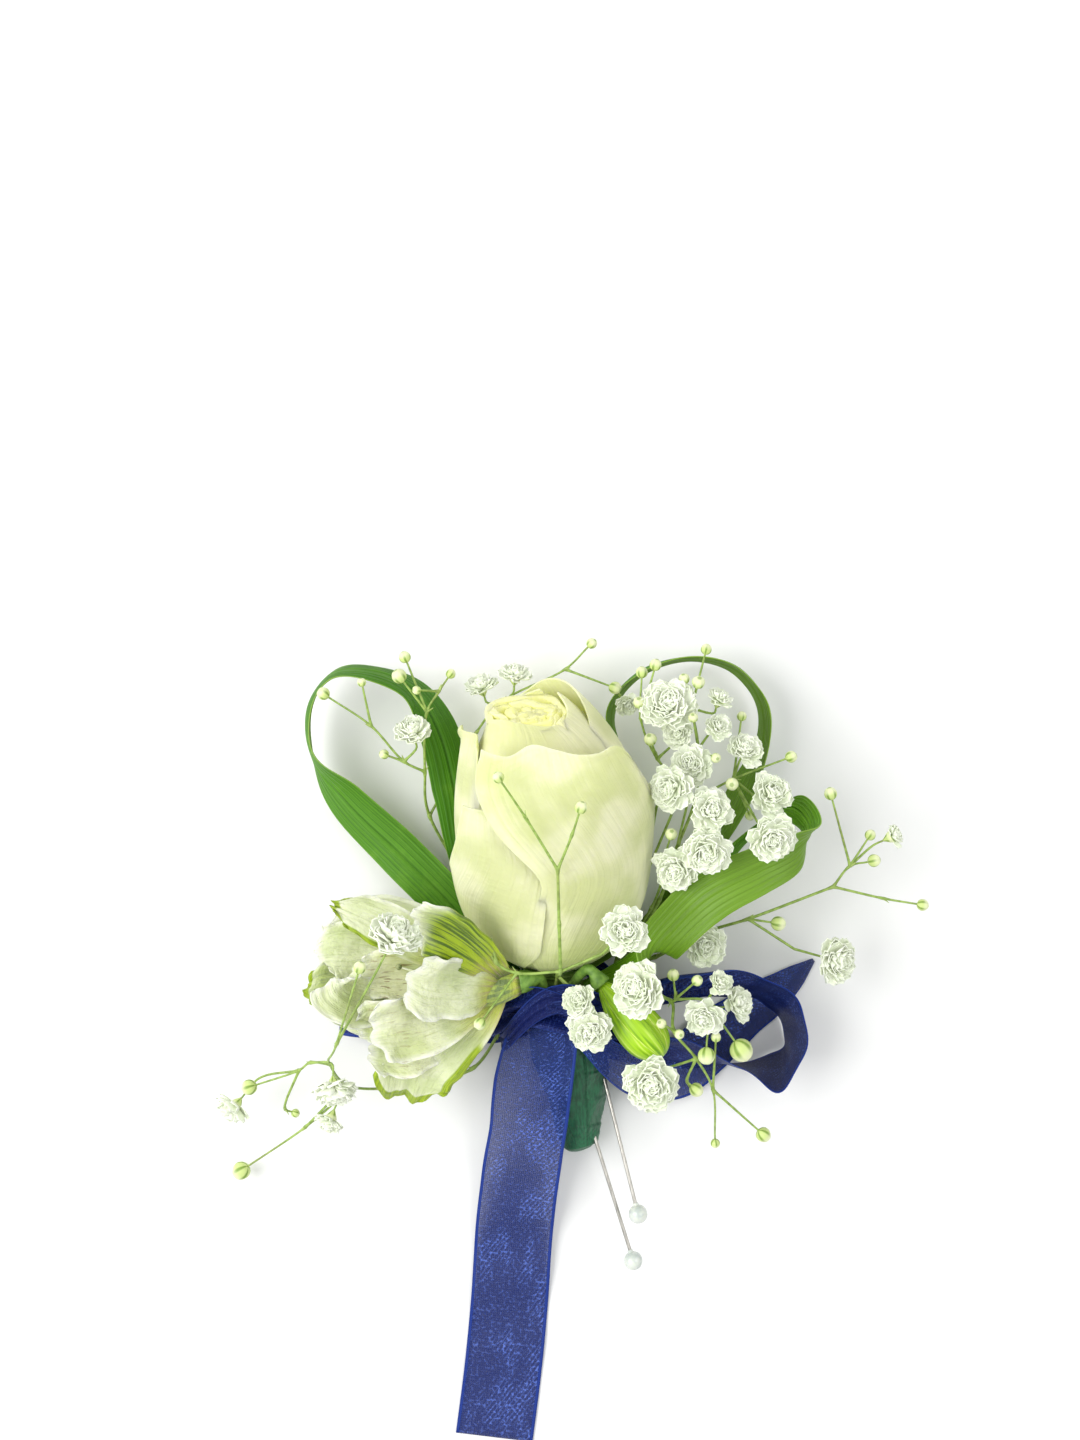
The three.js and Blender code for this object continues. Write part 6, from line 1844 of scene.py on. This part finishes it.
    def build_stalk(self, finish: TwigFinish) -> None:
        """Builds the stalk out of the tape, with the ribbed ovary behind the bloom."""
        top = vec(self.throat) + self.forward * 0.1
        back = top - self.forward * self.ovary_length
        route = [*self.binding.root(Stem.ALSTROEMERIA), vec(self.knee), back]
        path = smooth(route, steps(self.path_rows))
        ovary = back + self.forward * np.linspace(0.4, self.ovary_length, self.ovary_rows)[:, None]
        swell = 1.05 + 1.1 * np.sin(np.linspace(0.1, 1.9, self.ovary_rows))
        radius = np.concatenate([np.linspace(0.8, 1.05, self.path_rows), swell])
        angle = round_turn(self.sides)
        share = np.concatenate([np.zeros(self.path_rows), steps(self.ovary_rows)])
        ribbed = radius[:, None] * (1 + 0.09 * share[:, None] * np.cos(6 * angle))
        skin = Skin()
        skin.add_tube(tube_rings(np.vstack([path, ovary]), ribbed, self.sides))
        skin.build("alstroemeria_stalk_skin", finish.make(), "stem_green", "alstroemeria_stalk")


@dataclass
class FlowerBud:
    """The alstroemeria's closed bud: six tepals folded to a point, each lapping the next."""

    binding: Binding
    base: Point = (4.5, 24.2, 22.4)
    tip: Point = (16.8, 9.6, 22.2)
    radius: float = 5.6
    ribs: int = 6
    twist: float = 0.5
    rows: int = 60
    sides: int = 96
    stalk_rows: int = 40

    def build(self, finish: BudFinish, green: TwigFinish) -> None:
        """Builds the bud and its stalk."""
        base, tip = vec(self.base), vec(self.tip)
        along = unit(tip - base)
        t = 0.5 - 0.5 * np.cos(math.pi * np.linspace(0.012, 1, self.rows))
        swell = 0.42 + 0.75 * t - 0.2 * t**2
        angle = round_turn(self.sides)
        fold = (self.ribs * angle[None] / (2 * math.pi) + self.twist * t[:, None]) % 1
        lapped = 1 + 0.11 * np.sin(math.pi * fold) ** 0.7 + 0.05 * fold
        closeness = np.maximum(smoothstep(0.9, 1.0, fold), smoothstep(0.07, 0.0, fold))
        radius = self.radius * 0.97 * (swell * np.sqrt(np.clip(1 - (2 * t - 1) ** 2, 0, 1)))[:, None] * lapped
        path = base + (tip - base) * t[:, None]
        skin = Skin()
        skin.add_tube(tube_rings(path, radius, self.sides), rim=closeness)
        skin.build("alstroemeria_bud_tepals", finish.make(), "bud_green", "alstroemeria_bud")
        points = [*self.binding.root(Stem.BUD), base - 3.4 * along, base + 0.4 * along]
        share = steps(self.stalk_rows)
        path = smooth(points, share)
        radius = 0.85 + 0.2 * share + 0.9 * smoothstep(0.8, 1, share)
        skin = Skin()
        skin.add_tube(tube_rings(path, radius, 20))
        skin.build("alstroemeria_bud_stalk_skin", green.make(), "stem_green", "alstroemeria_bud_stalk")


# The ribbon.


RIBBON_ROUTES = {
    "rightLoop": (
        Stop((0.6, 14.2, 20), (0.1, 0.6, 0.6), 5), Stop((7.4, 11, 16), (0.3, 0.7, 0.6), 8),
        Stop((13, 9.2, 10.4), (0.1, 0.6, 0.8), 13), Stop((21.5, 7.8, 8.2), (0, 0.5, 0.86), 16),
        Stop((32.5, 5.4, 8.2), (0.05, 0.12, 0.99), 16), Stop((40.6, 4, 8.2), (0, -0.3, 0.95), 16),
        Stop((44.6, 9.8, 8.3), (0.12, 0, 0.99), 16), Stop((42.6, 17.4, 8.6), (0.25, 0.2, 0.95), 16),
        Stop((36, 21.6, 9.4), (0.05, 0.4, 0.92), 16), Stop((26, 22, 9.6), (0, 0.45, 0.9), 14),
        Stop((15, 19.6, 8.6), (-0.1, 0.4, 0.9), 9), Stop((8, 16.4, 11.8), (-0.2, 0.5, 0.8), 6),
        Stop((3, 14.8, 19.6), (-0.3, 0.6, 0.4), 5),
    ),
    "leftLoop": (
        Stop((-1, 17.6, 20.4), (0, 0.9, 0.3), 8), Stop((-8.4, 19.4, 19.6), (0.25, 0.85, 0.5), 10),
        Stop((-15.6, 17.4, 14.2), (0.15, 0.8, 0.5), 12), Stop((-26, 17, 8.8), (0.05, 0.93, 0.3), 16),
        Stop((-40, 18.4, 7.6), (0, 0.98, 0.1), 16), Stop((-49, 19.2, 4.4), (-0.05, 0.98, 0.05), 16),
        Stop((-41, 19, 1), (0, 0.98, 0), 16), Stop((-28, 17, 0.5), (0, 0.98, 0), 16),
        Stop((-17.5, 15, 2.6), (0, 0.98, -0.05), 12), Stop((-10.8, 14.4, 8.6), (0, 0.98, 0), 6),
    ),
    "longTail": (
        Stop((-6.6, 17.8, 16.8), (0.92, 0.36, 0.14), 12), Stop((-7.2, 12, 17.2), (0.98, 0.03, 0.12), 14.8),
        Stop((-8.7, 3, 15.8), (0.97, -0.1, 0.15), 16), Stop((-9.8, -7.1, 11), (0.96, -0.12, 0.24), 16),
        Stop((-11.4, -18.3, 6), (0.97, -0.12, 0.12), 16), Stop((-12.7, -30.4, 2.2), (0.98, -0.12, 0.04), 16),
        Stop((-13.6, -44.4, 0.6), (0.99, -0.12, 0), 16), Stop((-15, -59, 0.4), (0.99, -0.12, 0), 16),
        Stop((-16.8, -73, 0.3), (0.99, -0.12, 0), 16),
    ),
    "shortTail": (
        Stop((1.4, 13.4, 19.8), (0.6, 0.6, 0.3), 5), Stop((7.4, 8, 17), (0.6, 0.6, 0.3), 8),
        Stop((14, 2.6, 9), (0.3, 0.8, 0.45), 10), Stop((21, 3.4, 3.4), (-0.3, 0.9, 0.2), 12),
        Stop((28, 9, 0.8), (-0.5, 0.8, 0), 12), Stop((34, 14, 0.5), (-0.6, 0.7, 0), 10),
        Stop((41, 19, 0.5), (-0.6, 0.7, 0), 8), Stop((46, 23, 0.5), (-0.6, 0.7, 0), 4.4),
        Stop((49.4, 26, 0.5), (-0.6, 0.7, 0), 0.8),
    ),
}


@dataclass
class RibbonBow:
    """One length of organza tied in a bow round the tape: two loops, two tails, the knot and its turn."""

    width: float = 16
    thickness: float = 0.17
    edge: float = 0.7
    pleats: int = 2
    tightest: float = 3.4
    deepest: float = 1.5
    columns: int = 45
    row_pitch: float = 0.8
    knot_rows: int = 64
    turn_rows: int = 110
    knot_at: Point = (3.4, 16.4, 19.4)
    knot_half: Point = (3.6, 4, 2.7)
    turn_middle: Point = (-2.2, 16.2, 9.7)
    turn_radii: tuple[float, float] = (13.4, 10.9)
    turn_half_width: float = 3.7
    turn_rise: float = 7.9
    turn_drop: float = 10.8

    def __post_init__(self) -> None:
        """Starts the cloth's skin and its length."""
        self.skin = Skin()
        self.length = 0.0

    def across(self) -> Array:
        """Returns the places across the ribbon, crowded at its two edges."""
        even = steps(self.columns)
        return even - 0.35 * np.sin(4 * math.pi * even) / (4 * math.pi)

    def add(self, grid: Array, length: float, doubled: float) -> None:
        """Adds a stretch of ribbon with its satin edges.

        Args:
            grid: its middle surface.
            length: its length along the cloth.
            doubled: how doubled it looks, from 0 to 1.
        """
        rows = len(grid)
        v = (self.length + np.linspace(0, length, rows)) / self.width
        u, v = np.meshgrid(self.across(), v)
        from_edge = self.width * (0.5 - np.abs(u - 0.5))
        satin = smoothstep(self.edge * 1.25, self.edge * 0.75, from_edge)
        self.skin.add_sheet(grid, self.thickness, (u, v), tone=doubled, rim=satin)
        self.length += length

    def add_strip(self, stops: tuple[Stop, ...], seed: float, cut: bool) -> None:
        """Adds a loop or a tail along its route, in pleats where the knot draws it narrow.

        Args:
            stops: its route.
            seed: a number that sets how it ripples.
            cut: whether its far end is a cut one, which lies flat.
        """
        path = smooth([s.at for s in stops], steps(300))
        length = float(np.linalg.norm(np.diff(path, axis=0), axis=1).sum())
        rows = int(length / self.row_pitch)
        along = steps(rows)
        u, v = np.meshgrid(self.across(), along)
        grid, up, width = strap_grid(stops, u, v)
        flat = np.full(rows, float(cut))
        narrow = np.clip(self.width / np.maximum(width, 1) * (1 - flat) + flat, 1, self.tightest)
        depth = width / (2 * math.pi * self.pleats) * np.sqrt(2 * (narrow**2 - 1))
        depth = np.minimum(depth, self.deepest)[:, None]
        fold = np.sin(2 * math.pi * self.pleats * u + 0.8 * np.sin(seed)) * depth
        ripple = 0.3 * np.sin(5 * v * len(stops) + 3 * u + seed) * np.sin(math.pi * v)
        self.add(grid + up * (fold + ripple)[..., None], length, 0.0 if cut else 0.75)

    def add_knot(self) -> None:
        """Adds the two turns of ribbon that make the knot, gathered across."""
        middle, half = vec(self.knot_at), vec(self.knot_half)
        for tilt, size, share in ((0.3, 1.0, 0.95), (-0.4, 0.86, 0.7)):
            turn = np.linspace(0, 2 * math.pi, self.knot_rows)
            u, _ = np.meshgrid(self.across(), turn)
            side = 2 * u - 1
            gathered = size * (1 - 0.16 * side**2) + 0.07 * np.sin(6 * math.pi * u + turn[:, None])
            round_y = gathered * np.cos(turn)[:, None]
            round_z = gathered * np.sin(turn)[:, None]
            grid = np.stack([share * side * 0.92 + tilt * round_y * 0.5, round_y, round_z], axis=-1)
            self.add(middle + grid * half, 2 * math.pi * float(half[1:].mean()) * size, 1.0)

    def add_turn(self, forward: Array) -> None:
        """Adds the turn that holds the bow to the tape.

        Args:
            forward: the way that the taped stems run there.
        """
        turn = np.linspace(0, 2 * math.pi, self.turn_rows)
        u, _ = np.meshgrid(self.across(), turn)
        right = unit(np.array([1.0, 0, 0]) - forward * forward[0])
        up = np.cross(right, forward)
        fold = 0.22 * np.sin(6 * math.pi * u + 0.6 * np.sin(2 * turn)[:, None])
        half = self.turn_half_width * (0.8 + 0.2 * np.cos(turn))[:, None]
        sides, tops = (np.sign(wave) * np.abs(wave) ** 0.7 for wave in (np.cos(turn), np.sin(turn)))
        wide = (self.turn_radii[0] + fold) * sides[:, None]
        high = (self.turn_radii[1] + fold) * tops[:, None]
        drop = self.turn_drop * np.abs(np.cos(turn)) ** 1.4
        rise = half * (2 * u - 1) + self.turn_rise - drop[:, None]
        grid = vec(self.turn_middle) + wide[..., None] * right + high[..., None] * up
        grid += rise[..., None] * forward
        length = float(np.linalg.norm(np.diff(grid[:, 0], axis=0), axis=1).sum())
        self.add(grid, length, 1.0)

    def build(self, finish: OrganzaFinish, binding: Binding) -> None:
        for order, (name, stops) in enumerate(RIBBON_ROUTES.items()):
            self.add_strip(stops, 1.3 * order, cut=name.endswith("Tail"))
        self.add_knot()
        self.add_turn(unit(vec(binding.axis[5]) - vec(binding.axis[4])))
        piece = self.skin.build("ribbon_bow_organza", finish.make(), "ribbon", "ribbon_bow")


# The pins.


@dataclass(frozen=True)
class Pin:
    """A steel pin stuck in the tape, with a pearl head."""

    name: str
    entry: Point
    pearl: Point
    length: float = 34.2
    radius: float = 0.36
    head_radius: float = 1.9
    point_length: float = 5
    rows: int = 60
    pearl_rows: int = 30
    pearl_sides: int = 40

    def build(self, twigs: Grower, steel: SteelFinish, lacquer: PearlFinish) -> None:
        """Builds the shank with its point, and the pearl with its small neck."""
        pearl = vec(self.pearl)
        inward = unit(vec(self.entry) - pearl)
        reach = np.linspace(1.2, self.head_radius + self.length, self.rows)
        taper = smoothstep(0, self.point_length, reach[-1] - reach) ** 0.7
        chains = Chains()
        chains.add(pearl + inward * reach[:, None], self.radius * (0.12 + 0.88 * taper))
        shank = twigs.grow(chains.host(), f"pin_{self.name}_shank", Sides=16, Material=steel.make())
        settle(shank, "pin_steel", f"pin_{self.name}")
        turn = np.linspace(0.02, 0.98, self.pearl_rows) * math.pi
        place = -self.head_radius * np.cos(turn)
        radius = self.head_radius * np.sin(turn)
        neck_place = self.head_radius + np.array([0.1, 0.35])
        place = np.concatenate([place, neck_place])
        radius = np.concatenate([radius, [0.62, 0.5]])
        radius = np.maximum(radius, np.where(place > 0, 0.5, 0))
        skin = Skin()
        skin.add_tube(tube_rings(pearl + inward * place[:, None], radius, self.pearl_sides))
        skin.build(f"pearl_{self.name}_head", lacquer.make(), "pearl", f"pearl_{self.name}")


# The studio: floor, light and camera.


@dataclass(frozen=True)
class Studio:
    """A plain pale floor in soft light, seen from straight above as in the photograph."""

    camera_at: Point = (-7.3, 75.7, 415)
    lens: float = 50
    sensor: float = 36
    floor_half: float = 1600
    world_strength: float = 0.7
    lights: tuple[tuple[Point, float, float], ...] = (
        ((-400, 70, 460), 470, 3.2),
        ((330, 60, 460), 330, 0.8),
    )

    def build(self) -> None:
        """Builds the floor, the world, the lights and the camera."""
        scene = bpy.context.scene
        half = self.floor_half * MM
        corners = [(-half, -half, 0), (half, -half, 0), (half, half, 0), (-half, half, 0)]
        mesh = bpy.data.meshes.new("floor")
        mesh.from_pydata(corners, [], [(0, 1, 2, 3)])
        mesh.materials.append(FloorFinish("matte_paper_floor").make())
        linked("floor", mesh)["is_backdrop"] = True
        world = bpy.data.worlds.new("soft_white")
        world.use_nodes = True
        background = world.node_tree.nodes["Background"]
        background.inputs["Color"].default_value = linear("#F7F8FA")
        background.inputs["Strength"].default_value = self.world_strength
        scene.world = world
        for order, (at, size, power) in enumerate(self.lights):
            light = bpy.data.lights.new(f"softbox_{order}", "AREA")
            light.shape = "SQUARE"
            light.size = size * MM
            light.energy = power
            lamp = bpy.data.objects.new(light.name, light)
            lamp.location = Vector(at) * MM
            lamp.rotation_euler = (-Vector(at)).to_track_quat("-Z", "Y").to_euler()
            scene.collection.objects.link(lamp)
        lens = bpy.data.cameras.new("camera")
        lens.lens = self.lens
        lens.sensor_width = self.sensor
        camera = bpy.data.objects.new("camera", lens)
        camera.location = Vector(self.camera_at) * MM
        scene.collection.objects.link(camera)
        scene.camera = camera
        scene.view_settings.view_transform = "Standard"


def write_sizes() -> None:
    """Gathers the CAD's box and the visual model's box as lists, and keeps neither."""
    boxes = {"cad": CAD_BOX, "visual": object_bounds()}
    {name: [list(corner) for corner in box] for name, box in boxes.items()}


def main() -> None:
    """Builds the whole boutonniere and its studio."""
    logging.basicConfig(level=logging.INFO, format="%(name)s: %(message)s")
    Studio().build()
    binding = Binding()
    green = TwigFinish("fresh_stem", green="#7FA644", dark="#4F7A2C", browning=0.1)
    binding.build(TapeFinish("crepe_floral_tape"))
    rose = Rose()
    rose.build_bloom(RosePetalFinish("cream_rose_petal"))
    rose.build_calyx(green, binding)
    for leaf in LEAVES:
        leaf.build(binding)
    breath = BabysBreath(binding)
    for seed, sprig in enumerate(SPRIGS, start=1):
        breath.build_sprig(sprig, seed)
    lily = Alstroemeria(binding)
    lily.build_bloom(TepalFinish("alstroemeria_petal"))
    filament = TwigFinish("pale_filament", green="#EEF0D8", dark="#DCE2B8", browning=0)
    lily.build_stamens(filament, SepalFinish("anther", pale="#8F9A6A", rib="#6F7A4C", tip="#A9AE80"), breath)
    lily.build_stalk(green)
    FlowerBud(binding).build(BudFinish("lime_bud"), green)
    RibbonBow().build(OrganzaFinish("royal_blue_organza"), binding)
    steel, lacquer = SteelFinish("drawn_steel"), PearlFinish("dipped_pearl")
    Pin("upper", (5.6, 3.4, 9.6), (12.4, -23.6, 13)).build(breath.twigs, steel, lacquer)
    Pin("lower", (3.2, -7.3, 6.9), (11.6, -33.9, 9.5)).build(breath.twigs, steel, lacquer)
    write_sizes()


if __name__ == "__main__":
    main()
